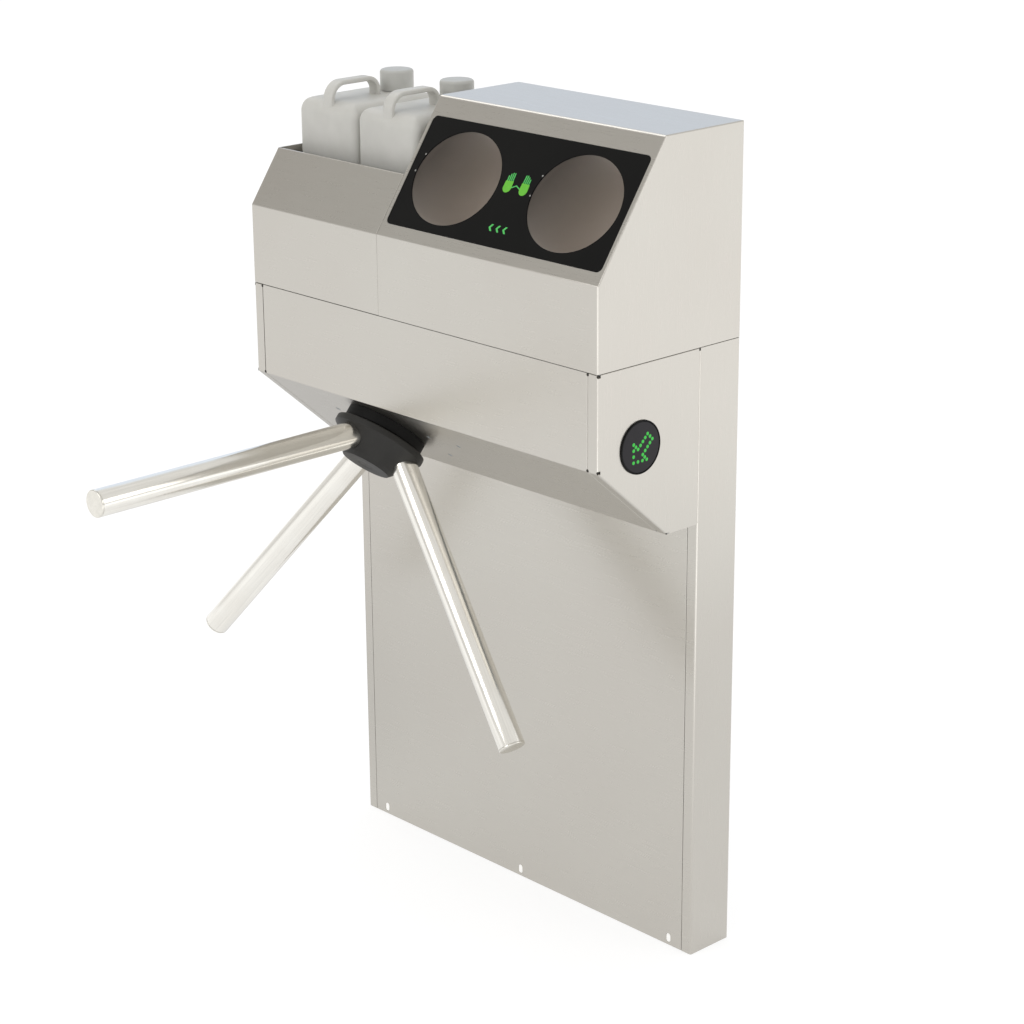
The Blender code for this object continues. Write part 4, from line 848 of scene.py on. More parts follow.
@dataclass
class Places:
    """The frames that pieces on slopes stand in, worked out from the sheet lines."""

    lines: SheetLines
    hub_x: float = -0.148
    hub_down_slope: float = 88 * MM
    arm_origin_depth: float = 3 * MM

    def hub(self) -> Matrix:
        """Returns the hub's frame: zero on the sloped underside, Y up the slope, Z out of it."""
        low = Vector((self.hub_x, self.lines.front_y, self.lines.low_z))
        rise = Vector((0, self.lines.front_y - self.lines.slope_y, self.lines.low_z - self.lines.bottom_z))
        up = rise.normalized()
        return place_matrix(low - up * self.hub_down_slope, RIGHT, up)

    def arms(self) -> list[Matrix]:
        """Returns the frame of each arm: zero where the arms meet, Z along the arm."""
        hub = self.hub()
        lean = math.acos(-hub.col[2].y)
        swing = Matrix.Rotation(-lean, 4, "X")
        turns = [Matrix.Rotation(math.tau * index / 3, 4, "Z") for index in range(3)]
        return [hub @ Matrix.Translation((0, 0, -self.arm_origin_depth)) @ turn @ swing for turn in turns]

    def console(self) -> Matrix:
        """Returns the console's frame: zero in the middle of its lower bend, Y up its slope, Z out of it."""
        middle = (self.lines.divide_x + self.lines.half) / 2
        up = (0, self.lines.top_y - self.lines.front_y, self.lines.top_z - self.lines.bend_z)
        return place_matrix((middle, self.lines.front_y, self.lines.bend_z), RIGHT, up)

    def underside(self, x: float, down: float) -> Matrix:
        """Returns a frame on the sloped underside, at a distance down from its upper bend."""
        shift = Matrix.Translation((x - self.hub_x, self.hub_down_slope - down, 0))
        return self.hub() @ shift


@dataclass
class Fastener:
    """A flush countersunk screw with a round recess, set in a shallow pocket.

    floor_shares say how deep the recess's floor lies in its middle and at its edge, and foot_shares how
    deep the head's foot lies at its edge and in its middle, both as shares of the pocket's depth.
    """

    head: float = 4.2 * MM
    pocket: float = 4.7 * MM
    depth: float = 0.9 * MM
    sunk: float = 0.15 * MM
    edge: float = 0.4 * MM
    socket: float = 2.0 * MM
    socket_edge: tuple[float, float] = (0.2 * MM, 0.1 * MM)
    floor_shares: tuple[float, float] = (0.9, 0.8)
    foot_shares: tuple[float, float] = (0.95, 0.96)

    def pocket_tool(self, place: Matrix) -> Mesh:
        """Makes the round cutter for the screw's pocket in a sheet."""
        return rod("pocket", self.pocket, (self.depth, -self.depth), POCKET_STEPS, place)

    def build(self, name: str, place: Matrix) -> None:
        """Makes the screw's head in its pocket."""
        head, socket, sunk = self.head, self.socket, self.sunk
        wide, down = self.socket_edge
        middle, floor = (-self.depth * share for share in self.floor_shares)
        low, lowest = (-self.depth * share for share in self.foot_shares)
        profile = [
            (0, middle), (socket, floor), (socket, -sunk - down), (socket + wide, -sunk),
            (head - self.edge, -sunk), (head, -sunk - self.edge), (head, low), (0, lowest)]
        make_piece(name, lathe(name, profile, SCREW_STEPS, False), ZINC_PLATE, STAND, place)


@dataclass
class Tripod:
    """The black hub, its fixed ring, and the three polished arms with their end discs."""

    arm_radius: float = 21.2 * MM
    arm_wall: float = 2.0 * MM
    arm_start: float = 62.0 * MM
    arm_end: float = 567.4 * MM
    cap: float = 3.0 * MM
    cap_rounds: tuple[float, float] = (1.2 * MM, 0.2 * MM)
    tube_round: float = 0.25 * MM
    spigot: float = 12.0 * MM
    ring_radius: float = 68.0 * MM
    ring_bore: float = 30.0 * MM
    ring_height: float = 18.0 * MM
    ring_rounds: tuple[float, float] = (0.8 * MM, 2.2 * MM)
    back: float = 19.5 * MM
    boss: tuple[float, float] = (28.0 * MM, -4.0 * MM)
    rim: tuple[float, float] = (78.0 * MM, 30.0 * MM)
    nose: tuple[float, float] = (46.5 * MM, 66.0 * MM)
    front: tuple[float, float] = (41.0 * MM, 72.0 * MM)
    recess: tuple[float, float] = (12.5 * MM, 60.0 * MM)
    shaft: tuple[float, float] = (12.8 * MM, 22.3 * MM)
    bolt: float = 4.3 * MM
    hollow: float = 0.10
    hub_edge: float = 0.9 * MM
    rim_rounds: tuple[float, float] = (2.4 * MM, 1.6 * MM)
    nose_rounds: tuple[float, float, float] = (1.0 * MM, 0.8 * MM, 0.5 * MM)
    plug: float = 3.0 * MM
    plug_fit: tuple[float, float] = (0.15 * MM, 0.1 * MM)
    plug_edge: float = 0.4 * MM
    dimple: tuple[float, float, float] = (0.9 * MM, 1.3 * MM, 0.7 * MM)
    seat: float = 0.3 * MM

    def build(self, places: Places) -> None:
        """Makes the ring, the hub and the arms."""
        self._ring(places.hub())
        self._hub(places)
        self._plug(places.hub())
        for letter, place in zip("abc", places.arms()):
            self._arm(letter, place)

    def _ring(self, place: Matrix) -> None:
        """Makes the fixed black ring on the sloped cover."""
        outline = [
            (self.ring_bore, self.ring_height), (self.ring_radius, self.ring_height),
            (self.ring_radius, self.seat), (self.ring_bore, self.seat)]
        mesh = lathe("hub_ring", rounded_corners(outline, (*self.ring_rounds, 0, 0)), RING_STEPS)
        ring = make_piece("hub_ring_moulded", mesh, BLACK_NYLON, STAND, place)
        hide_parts("hub_flange")

    def _hub(self, places: Places) -> None:
        """Makes the cast hub: a rim that flares in a hollow curve to a flat nose, with three sockets.

        Along the flare, the radius falls from the rim to the nose in proportion to the height, less the
        hollow's share of that difference times the sine of half a turn.
        """
        steps = 25
        part = np.linspace(1, 0, steps)
        dip = self.hollow * np.sin(np.pi * part)
        radius = self.nose[0] + (self.rim[0] - self.nose[0]) * (part - dip)
        height = self.nose[1] + (self.rim[1] - self.nose[1]) * part
        outline = [
            (self.bolt, self.recess[1]), (self.bolt, self.shaft[1]), self.shaft,
            (self.shaft[0], self.boss[1]), self.boss, (self.boss[0], self.back), (self.rim[0], self.back),
            *zip(radius, height), self.front, (self.recess[0], self.front[1]), self.recess]
        radii = (*[0] * 6, *self.rim_rounds, *[0] * (steps - 2), *self.nose_rounds, 0)
        mesh = lathe("hub", rounded_corners(outline, radii), WIDE_STEPS)
        mesh.transform(places.hub())
        wide, span = self.arm_radius + self.seat, (self.arm_start - self.seat, self.arm_end / 2)
        sockets = [rod("socket", wide, span, TUBE_STEPS, place) for place in places.arms()]
        mesh = carved(mesh, sockets, "DIFFERENCE")
        hub = make_piece("hub_casting", mesh, COATED_CASTING, TRIPOD)
        bevelled(hub, self.hub_edge, segments=3, angle=38)
        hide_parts("tripod_hub")

    def _plug(self, place: Matrix) -> None:
        """Makes the plug that closes the bolt's recess flush with the nose, with a small dimple."""
        wide, top = self.recess[0] - self.plug_fit[0], self.front[1] - self.plug_fit[1]
        inner, outer, deep = self.dimple
        profile = [
            (0, top - deep), (inner, top - deep), (outer, top), (wide - self.plug_edge, top),
            (wide, top - self.plug_edge), (wide, top - self.plug), (0, top - self.plug)]
        mesh = lathe("plug", profile, BORE_STEPS, False)
        make_piece("hub_plug", mesh, COATED_CASTING, TRIPOD, place)

    def _arm(self, letter: str, place: Matrix) -> None:
        """Makes one tube and its end disc."""
        steps = 12
        tube_end, bore = self.arm_end - self.cap, self.arm_radius - self.arm_wall
        heights = np.linspace(self.arm_start, tube_end, steps)
        outline = [(self.arm_radius, z) for z in heights] + [(bore, z) for z in heights[::-1]]
        radii = [0] * (steps - 1) + [self.tube_round] + [0] * steps
        mesh = lathe("tube", rounded_corners(outline, radii), TUBE_STEPS)
        tube = make_piece("arm_tube_" + letter, mesh, POLISHED_TUBE, TRIPOD, place)
        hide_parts("arm_" + letter)
        low, inner, spigot_end = tube_end + self.seat, bore - self.seat, tube_end - self.spigot
        outline = [
            (0, self.arm_end), (self.arm_radius, self.arm_end), (self.arm_radius, low), (inner, low),
            (inner, spigot_end), (0, spigot_end)]
        profile = rounded_corners(outline, (0, *self.cap_rounds, 0, 0, 0), closed=False)
        mesh = lathe("disc", profile, TUBE_STEPS, False)
        disc = make_piece("arm_disc_" + letter, mesh, GROUND_STEEL, TRIPOD, place)
        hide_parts("arm_cap_" + letter)


@dataclass
class Indicator:
    """A round display: black bezel, smoked lens and an arrow of green diodes that points inwards and down."""

    bezel_radius: float = 40.9 * MM
    bezel_rounds: tuple[float, float] = (0.4 * MM, 1.2 * MM)
    height: float = 2.8 * MM
    lens_radius: float = 38.5 * MM
    lens_edge: float = 2.05 * MM
    lens_dome: float = 0.4 * MM
    lens_low: float = 1.3 * MM
    lens_round: float = 0.4 * MM
    lens_inset: float = 0.5 * MM
    tube: float = 36.0 * MM
    bore: float = 34.0 * MM
    tube_depth: float = 22.0 * MM
    seat: float = 0.3 * MM
    reach: float = 126.3 * MM
    drop: float = 125.0 * MM
    pitch: float = 9.2 * MM
    tip: tuple[float, float] = (-15.5 * MM, -20.6 * MM)
    barb: tuple[float, float] = (19.6 * MM, 13.2 * MM)
    shaft: tuple[float, float, float] = (19.9 * MM, 7.0 * MM, 7.0 * MM)
    tail: float = 48.0 * MM
    diode: float = 2.8 * MM
    diode_proud: float = 0.3 * MM
    diode_sunk: float = 0.5 * MM

    def build(self, lines: SheetLines, side: Side) -> None:
        """Makes the bezel, the lens and the diodes of one side."""
        centre = (side.value * lines.half, lines.pedestal_y - self.reach, lines.seam_z - self.drop)
        place = place_matrix(centre, (0, side.value, 0), UP)
        ledge = self.lens_low - self.seat
        inner = self.lens_radius + self.seat
        outline = [
            (inner, self.height), (self.bezel_radius, self.height), (self.bezel_radius, self.seat),
            (self.tube, self.seat), (self.tube, -self.tube_depth), (self.bore, -self.tube_depth),
            (self.bore, ledge), (inner, ledge)]
        mesh = lathe("bezel", rounded_corners(outline, (*self.bezel_rounds, *[0] * 6)), RING_STEPS)
        bezel = make_piece("indicator_ring_" + side.word, mesh, BLACK_NYLON, STAND, place)
        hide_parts("indicator_bezel_" + side.word)
        name = "indicator_window_" + side.word
        lens = make_piece(name, self._lens(), SMOKED_LENS, STAND, place)
        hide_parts("indicator_lens_" + side.word)
        diodes = join_meshes("diodes", [self._diode(spot) for spot in self._arrow(side)])
        make_piece("arrow_diodes_" + side.word, diodes, GREEN_DIODE, STAND, place)

    def _dome(self, radius: np.ndarray) -> np.ndarray:
        """Returns the lens's height, which falls with the square of the distance from its middle."""
        return self.lens_edge + self.lens_dome * (1 - (radius / self.lens_radius) ** 2)

    def _lens(self) -> Mesh:
        """Makes the lens, a disc with a slightly domed front and a soft rim."""
        radius = np.linspace(0, self.lens_radius - self.lens_inset, 10)
        wide, low = self.lens_radius, self.lens_low
        rim = [(wide, self.lens_edge - self.lens_round), (wide, low), (0, low)]
        return lathe("lens", [*zip(radius, self._dome(radius)), *rim], RING_STEPS, False)

    def _arrow(self, side: Side) -> np.ndarray:
        """Returns the diodes' places: two legs at the tip, two barbs, and a shaft with two sides.

        The first coordinate points to the cabinet's back on the right side. The left side's frame is
        turned, so there it is mirrored, which makes both arrows point to the lane.
        """
        tip, pitch = np.array(self.tip), self.pitch
        start, gap, half = self.shaft
        diagonal, across = np.array([1, 1]) / math.sqrt(2), np.array([-1, 1]) / math.sqrt(2)
        spots = [tip]
        for step in (1, 2, 3):
            spots += [tip + (0, step * pitch), tip + (step * pitch, 0)]
        for sign in (-1, 1):
            spots.append(tip + diagonal * self.barb[0] + across * sign * self.barb[1])
            spots += [tip + diagonal * (start + gap * k) + across * sign * half for k in range(5)]
        spots.append(tip + diagonal * self.tail)
        return np.array(spots) * (side.value, 1)

    def _diode(self, spot: np.ndarray) -> Mesh:
        """Makes one diode's small dome, which stands just proud of the lens."""
        base = float(self._dome(np.linalg.norm(spot)))
        top = min(base + self.diode_proud, self.height)
        radius = np.linspace(self.diode, 0, 5)
        dome = base + (top - base) * (1 - (radius / self.diode) ** 2)
        low = base - self.diode_sunk
        mesh = lathe("diode", [(0, low), (self.diode, low), *zip(radius, dome)], PIN_STEPS, False)
        mesh.transform(Matrix.Translation((spot[0], spot[1], 0)))
        return mesh


@dataclass
class Console:
    """The sanitising console: shell, black panel, two deep hand wells, signs and its back."""

    fold: float = 5.0 * MM
    top_fold: float = 4.5 * MM
    bend: float = 1.5 * MM
    side_fold: float = 2.5 * MM
    sheet: float = 2.0 * MM
    seat: float = 0.3 * MM
    panel_start: float = 21.0 * MM
    panel_length: float = 184.0 * MM
    panel_width: float = 461.0 * MM
    panel_corner: float = 9.0 * MM
    well_spacing: float = 253.0 * MM
    well_across: float = 89.0 * MM
    well_up: float = 77.5 * MM
    well_depth: float = 190.0 * MM
    well_wall: float = 1.8 * MM
    well_rows: int = 56
    row_spread: float = 2.4
    nozzle: float = 8.0 * MM
    back_screw_inset: float = 16.0 * MM
    panel_edge: float = 0.35 * MM

    def build(self, work: SheetWork, lines: SheetLines, places: Places) -> None:
        """Makes everything on the console."""
        self._shell(work, lines)
        self._back(work, lines)
        place = places.console()
        self._panel(place)
        for side in Side:
            self._well(place, side)
        Signs().build(place)

    def _shell(self, work: SheetWork, lines: SheetLines) -> None:
        """Dresses the folded shell."""
        slope = (0, lines.top_y - lines.front_y, lines.top_z - lines.bend_z)
        bends = [
            Bend((0, lines.top_y, lines.top_z), RIGHT, self.top_fold),
            Bend((0, lines.front_y, lines.bend_z), RIGHT, self.bend),
            Bend((0, lines.back_y, lines.top_z), RIGHT, self.side_fold),
            Bend((lines.half, lines.front_y, 0), UP, self.fold),
        ]
        for x in (lines.half, lines.divide_x):
            bends += [
                Bend((x, 0, lines.top_z), BACK, self.side_fold),
                Bend((x, lines.front_y, lines.bend_z), slope, self.side_fold),
                Bend((x, lines.back_y, 0), UP, self.side_fold),
            ]
        work.dress("console_shell", bends)

    def _back(self, work: SheetWork, lines: SheetLines) -> None:
        """Dresses the back panel with six countersunk screws."""
        low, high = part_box("console_back_panel")
        inset = self.back_screw_inset
        screw = Fastener()
        spots = [
            place_matrix((x, lines.back_y, z), (-1, 0, 0), UP)
            for x in (low.x + inset, (low.x + high.x) / 2, high.x - inset)
            for z in (low.z + inset, high.z - inset)
        ]
        work.dress("console_back_panel", [], [screw.pocket_tool(spot) for spot in spots])
        for number, spot in enumerate(spots):
            screw.build(f"back_screw_{number}", spot)

    def _panel(self, place: Matrix) -> None:
        """Makes the black panel with its two oval openings and softly broken edges."""
        half = np.array([self.panel_width / 2, self.panel_length / 2])
        corners = SQUARE * half + (0, self.panel_start + half[1])
        outline = rounded_corners(corners, [self.panel_corner] * 4, steps=10)
        slab = flat_slab("panel", outline, -self.sheet, 0)
        oval = circle(WIDE_STEPS) * (self.well_across, self.well_up)
        pins = [flat_slab("opening", oval + self._middle(side), -2 * self.sheet, self.sheet) for side in Side]
        mesh = carved(slab, pins, "DIFFERENCE")
        panel = make_piece("console_face", mesh, BLACK_ACRYLIC, STAND, place)
        bevelled(panel, self.panel_edge, segments=2, angle=50)
        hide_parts("console_panel")

    def _middle(self, side: Side) -> tuple[float, float]:
        """Returns the middle of a hand opening on the slope."""
        return side.value * self.well_spacing / 2, self.panel_start + self.panel_length / 2

    def _well(self, place: Matrix, side: Side) -> None:
        """Makes one deep oval bowl with its wall.

        At the angle a the bowl's radius is its mouth's radius times cos a, and its depth is its full
        depth times the cube root of sin a, from the mouth to the nozzle's hole. The rows stand closer
        near the mouth, where the wall falls fast.
        """
        walls = []
        for wall in (0, self.well_wall):
            radius, depth = self.well_up + wall, self.well_depth + wall
            angle = math.acos(self.nozzle / radius) * np.linspace(0, 1, self.well_rows) ** self.row_spread
            walls.append(np.stack((radius * np.cos(angle), -depth * np.sin(angle) ** (1 / 3)), axis=1))
        mesh = lathe("well", np.concatenate((walls[0], walls[1][::-1])), WIDE_STEPS)
        stretch = Matrix.Diagonal((self.well_across / self.well_up, 1, 1, 1))
        mouth = Matrix.Translation((*self._middle(side), -self.sheet - self.seat))
        well = make_piece(
            "hand_bowl_" + side.word, mesh, TAUPE_ABS, STAND, place @ mouth @ stretch)
        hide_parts("hand_well_" + side.word)


@dataclass
class Signs:
    """The lit signs and sensor windows on the console's panel: hands, three chevrons, four dots."""

    thickness: float = 0.25 * MM
    lift: float = 0.1 * MM
    hands_middle: tuple[float, float] = (0.8 * MM, 107.5 * MM)
    hand_offset: float = 16.8 * MM
    lean: float = 2.5
    palm: tuple[float, float] = (17.0 * MM, 19.0 * MM)
    palm_slant: float = 1.0 * MM
    finger_shift: float = 0.8 * MM
    finger_start: float = 0.2 * MM
    finger_width: float = 2.1 * MM
    finger_gap: float = 1.6 * MM
    finger_lengths: tuple[float, ...] = (8.5 * MM, 11.5 * MM, 13.5 * MM, 13.0 * MM)
    thumb: tuple[float, float, float] = (7.0 * MM, 7.5 * MM, 14.3 * MM)
    thumb_width: float = 2.0 * MM
    thumb_sunk: float = 0.05 * MM
    chevrons: tuple[float, ...] = (-12.8 * MM, 2.2 * MM, 16.6 * MM)
    chevron_up: float = 50.5 * MM
    chevron_size: tuple[float, float] = (4.6 * MM, 11.0 * MM)
    chevron_stroke: float = 4.2 * MM
    chevron_round: float = 0.5 * MM
    sensors: tuple[tuple[float, float], ...] = (
        (-211.7 * MM, 141 * MM), (-218.0 * MM, 112 * MM), (42.8 * MM, 144 * MM), (35.5 * MM, 110.5 * MM))
    sensor_radius: float = 1.5 * MM

    def build(self, place: Matrix) -> None:
        """Makes the signs on the console's frame."""
        palms = [self._palm(side) for side in Side]
        strokes = [finger for side in Side for finger in self._fingers(side)]
        strokes += [self._thumbs(), *(self._chevron(x) for x in self.chevrons)]
        dots = [self._print(circle(DOT_STEPS) * self.sensor_radius + spot) for spot in self.sensors]
        for name, meshes, finish in (
            ("palms_sign", palms, GREEN_SIGN),
            ("strokes_sign", strokes, GREEN_CHEVRON),
            ("sensor_windows", dots, SENSOR_CLEAR),
        ):
            make_piece(name, join_meshes(name, meshes), finish, STAND, place)

    def _print(self, outline: np.ndarray, sunk: float = 0.0) -> Mesh:
        """Makes one thin printed field whose face stands just proud of the panel."""
        return flat_slab("print", outline, self.lift - self.thickness, self.lift - sunk)

    def _on_hand(self, outline: np.ndarray, side: Side) -> np.ndarray:
        """Mirrors an outline that is drawn for the left hand, leans it and moves it to its hand."""
        turn = math.radians(self.lean) * -side.value
        cos, sin = math.cos(turn), math.sin(turn)
        turned = (outline * (-side.value, 1)) @ np.array([[cos, sin], [-sin, cos]])
        return turned + (self.hands_middle[0] + side.value * self.hand_offset, self.hands_middle[1])

    def _palm(self, side: Side) -> Mesh:
        """Makes the palm, round at the wrist and straight below the fingers."""
        wide, tall = self.palm
        angle = np.linspace(0, -math.pi, 21)
        base = np.stack((np.cos(angle), 1 + np.sin(angle)), axis=1) * wide / 2
        outline = np.concatenate((base, [(self.palm_slant - wide / 2, tall), (wide / 2, tall)]))
        return self._print(self._on_hand(outline, side))

    def _fingers(self, side: Side) -> list[Mesh]:
        """Makes four separate fingers with round tips, longer towards the other hand."""
        tall, half = self.palm[1], self.finger_width / 2
        low = tall + self.finger_start
        pitch = self.finger_width + self.finger_gap
        tip = np.linspace(math.pi, 0, 9)
        meshes = []
        for number, length in enumerate(self.finger_lengths):
            x = (number - 1.5) * pitch + self.finger_shift
            top = tall + length - half
            rounded = np.stack((x + half * np.cos(tip), top + half * np.sin(tip)), axis=1)
            outline = np.concatenate(([(x - half, low)], rounded, [(x + half, low)]))
            meshes.append(self._print(self._on_hand(outline, side)))
        return meshes

    def _thumbs(self) -> Mesh:
        """Makes the stroke of both thumbs, which meet in a peak between the palms."""
        middle, base = self.hands_middle
        from_palm, low, peak = self.thumb
        reach, high = self.hand_offset - from_palm, low + self.thumb_width
        outline = np.array([
            (-reach, low), (0, peak - self.thumb_width), (reach, low),
            (reach, high), (0, peak), (-reach, high)])
        return self._print(outline + (middle, base), self.thumb_sunk)

    def _chevron(self, x: float) -> Mesh:
        """Makes one chevron that points left."""
        wide, half, stroke = self.chevron_size[0], self.chevron_size[1] / 2, self.chevron_stroke
        outline = np.array([
            (0, 0), (wide, half), (wide + stroke, half), (stroke, 0), (wide + stroke, -half), (wide, -half)])
        outline += (x - (wide + stroke) / 2, self.chevron_up)
        return self._print(rounded_corners(outline, [self.chevron_round] * 6, steps=3))


@dataclass
class Bay:
    """The open bay on the left, and the thin filler in the joint between bay and console."""

    bend: float = 1.5 * MM
    side_fold: float = 2.0 * MM
    filler_sunk: float = 0.25 * MM
    filler_back: float = 1.6 * MM
    filler_start: float = 1.2 * MM
    filler_end: float = 0.5 * MM
    filler_fit: float = 0.05

    def build(self, work: SheetWork, lines: SheetLines) -> None:
        """Dresses the bay's shell and floor, and fills the joint."""
        slope = (0, lines.top_y - lines.front_y, lines.top_z - lines.bend_z)
        bends = [
            Bend((0, lines.front_y, lines.bend_z), RIGHT, self.bend),
            Bend((-lines.half, lines.front_y, lines.bend_z), slope, self.side_fold),
            Bend((-lines.half, lines.front_y, 0), UP, self.side_fold),
            Bend((-lines.half, lines.back_y, 0), UP, self.side_fold),
        ]
        work.dress("bay_shell", bends)
        work.dress("bay_floor", [])
        self._filler(lines)

    def _filler(self, lines: SheetLines) -> None:
        """Makes the strip that lies in the joint, up the front and the slope to the bay's lip."""
        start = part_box("bay_shell")[1].x
        gap = lines.divide_x - start
        share = (lines.lip_z - lines.bend_z) / (lines.top_z - lines.bend_z)
        lip_y = lines.front_y + (lines.top_y - lines.front_y) * share
        course = [
            (lines.front_y, lines.seam_z + self.filler_start), (lines.front_y, lines.bend_z),
            (lip_y, lines.lip_z - self.filler_end)]
        outline = [(y + self.filler_sunk, z) for y, z in course]
        outline += [(y + self.filler_back, z) for y, z in reversed(course)]
        left, right = start + gap * self.filler_fit, start + gap * (1 - self.filler_fit)
        mesh = flat_slab("filler", outline, left, right)
        upright = place_matrix((0, 0, 0), BACK, UP)
        make_piece("joint_filler", mesh, JOINT_FILLER, STAND, upright)


@dataclass
class Canister:
    """A blow-moulded canister with a strap handle and threaded neck, and its screw cap."""

    width: float = 140.0 * MM
    depth: float = 184.0 * MM
    height: float = 216.2 * MM
    corner: float = 13.0 * MM
    shoulder: float = 23.0 * MM
    foot: float = 12.0 * MM
    wall: float = 2.0 * MM
    neck_radius: float = 22.7 * MM
    thread: float = 0.8 * MM
    thread_pitch: float = 4.0 * MM
    thread_run: tuple[float, float] = (6.0 * MM, 26.0 * MM)
    thread_fade: float = 3.0 * MM
    neck_bore: float = 20.0 * MM
    neck_height: float = 29.0 * MM
    neck_root: float = 6.0 * MM
    bore_root: float = 8.0 * MM
    neck_from_back: float = 33.0 * MM
    strap_width: float = 22.0 * MM
    strap: float = 7.5 * MM
    strap_height: float = 30.5 * MM
    strap_inset: float = 4.0 * MM
    strap_root: float = 13.5 * MM
    strap_length: float = 103.5 * MM
    strap_rounds: tuple[float, float] = (30.0 * MM, 24.0 * MM)
    strap_edge: float = 2.6 * MM
    neck_edge: float = 1.2 * MM
    least_corner: float = 4.0 * MM
    cap_radius: float = 27.5 * MM
    cap_wall: float = 3.0 * MM
    cap_top: float = 2.4 * MM
    cap_rounds: tuple[float, float, float, float] = (5.0 * MM, 0.8 * MM, 0.4 * MM, 0.5 * MM)

    def build(self, side: Side) -> None:
        """Makes the canister and the cap of one side of the bay."""
        low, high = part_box("canister_" + side.word)
        x, top = (low.x + high.x) / 2, low.z + self.height
        half = np.array([self.width / 2, self.depth / 2])
        centre = np.array([x, low.y + self.depth / 2])
        mouth = Matrix.Translation((x, low.y + self.depth - self.neck_from_back, top))
        body = self._rounded_tank("tank", centre, half, (low.z, top), self.corner)
        neck, strap = self._neck(), self._strap(x, low.y, top)
        cavity = self._rounded_tank(
            "cavity", centre, half - self.wall, (low.z + self.wall, top - self.wall), self.corner - self.wall)
        neck.transform(mouth)
        bore = rod("bore", self.neck_bore, (self.neck_height * 2, -self.bore_root), BORE_STEPS, mouth)
        mesh = carved(body, (neck, strap), "UNION")
        mesh = carved(mesh, (cavity, bore), "DIFFERENCE")
        tank = make_piece(
            "canister_moulded_" + side.word, mesh, GREY_POLYETHYLENE,
            f"canister_{side.word}_body")
        bevelled(tank, self.neck_edge, segments=3, angle=40)
        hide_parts("canister_" + side.word)
        self._cap(side)

    def _rounded_tank(
        self, name: str, centre: np.ndarray, half: np.ndarray, span: tuple[float, float], corner: float,
    ) -> Mesh:
        """Makes a tank with rounded upright corners, foot and shoulder.

        Each level is a rounded rectangle. In the foot and shoulder it draws in by the fillet's radius
        less the fillet's radius times the cosine of the angle along the fillet. Top and bottom are
        closed by shrinking the last level to its middle.
        """
        up, steps = np.radians(np.linspace(0, 90, 10)), 9
        down = up[::-1]
        low, high = span
        foot, shoulder = self.foot, self.shoulder
        inset = np.concatenate((foot - foot * np.cos(down), shoulder - shoulder * np.cos(up)))
        level = np.concatenate((low + foot - foot * np.sin(down), high - shoulder + shoulder * np.sin(up)))
        quarter = np.radians(np.linspace(0, 90, steps))
        turn = np.concatenate([quarter + math.pi / 2 * k for k in range(4)])
        sign_x, sign_y = np.repeat((1, -1, -1, 1), steps), np.repeat((1, 1, -1, -1), steps)
        radius = np.maximum(corner - inset, self.least_corner)[:, None]
        reach = half[None, :] - inset[:, None] - radius
        flat = np.stack((
            sign_x * reach[:, :1] + radius * np.cos(turn),
            sign_y * reach[:, 1:] + radius * np.sin(turn)), axis=-1)
        shrink = np.array([0.0, 0.5])[:, None, None]
        flat = np.concatenate((flat[:1] * shrink, flat, flat[-1:] * shrink[::-1])) + centre
        level = np.concatenate(([low, low], level, [high, high]))
        upright = np.broadcast_to(level[:, None, None], (*flat.shape[:2], 1))
        return grid_mesh(name, np.concatenate((flat, upright), axis=-1))

    def _neck(self) -> Mesh:
        """Makes the neck with its helical thread.

        The thread's ridge is the square of the positive part of the cosine of a full turn per pitch,
        shifted by the angle round the neck, and it fades out near both ends.
        """
        rows, steps = 60, 96
        height = np.linspace(-self.neck_root, self.neck_height, rows)[:, None]
        angle = np.linspace(0, math.tau, steps, endpoint=False)[None, :]
        wave = np.maximum(np.cos(math.tau * height / self.thread_pitch - angle), 0) ** 2
        first, last = self.thread_run
        begins = np.clip((height - first) / self.thread_fade, 0, 1)
        ends = np.clip((last - height) / self.thread_fade, 0, 1)
        radius = self.neck_radius + self.thread * wave * begins * ends
        grid = np.stack(np.broadcast_arrays(radius * np.cos(angle), radius * np.sin(angle), height), axis=-1)
        return grid_mesh("neck", closed_ends(grid))

    def _strap(self, x: float, front: float, top: float) -> Mesh:
        """Makes the strap handle: a rounded oblong section swept along an arch over the shoulder."""
        half = self.strap / 2
        start = front + self.strap_inset + half
        end = front + self.strap_inset + self.strap_length - half
        low, high = top - self.strap_root, top + self.strap_height - half
        corners = [(start, low), (start, high), (end, high), (end, low)]
        radii = (0, self.strap_rounds[0] - half, self.strap_rounds[1] - half, 0)
        path = rounded_corners(corners, radii, steps=16, closed=False)
        along = np.gradient(path, axis=0)
        along /= np.linalg.norm(along, axis=1, keepdims=True)
        outward = np.stack((-along[:, 1], along[:, 0]), axis=1)
        section = rounded_corners(SQUARE * (self.strap_width / 2, half), [self.strap_edge] * 4)
        side, out = section.T[:, None, :]
        grid_y, grid_z = path[:, :1] + outward[:, :1] * out, path[:, 1:] + outward[:, 1:] * out
        grid = np.stack(np.broadcast_arrays(x + side, grid_y, grid_z), axis=-1)
        return grid_mesh("strap", closed_ends(grid))

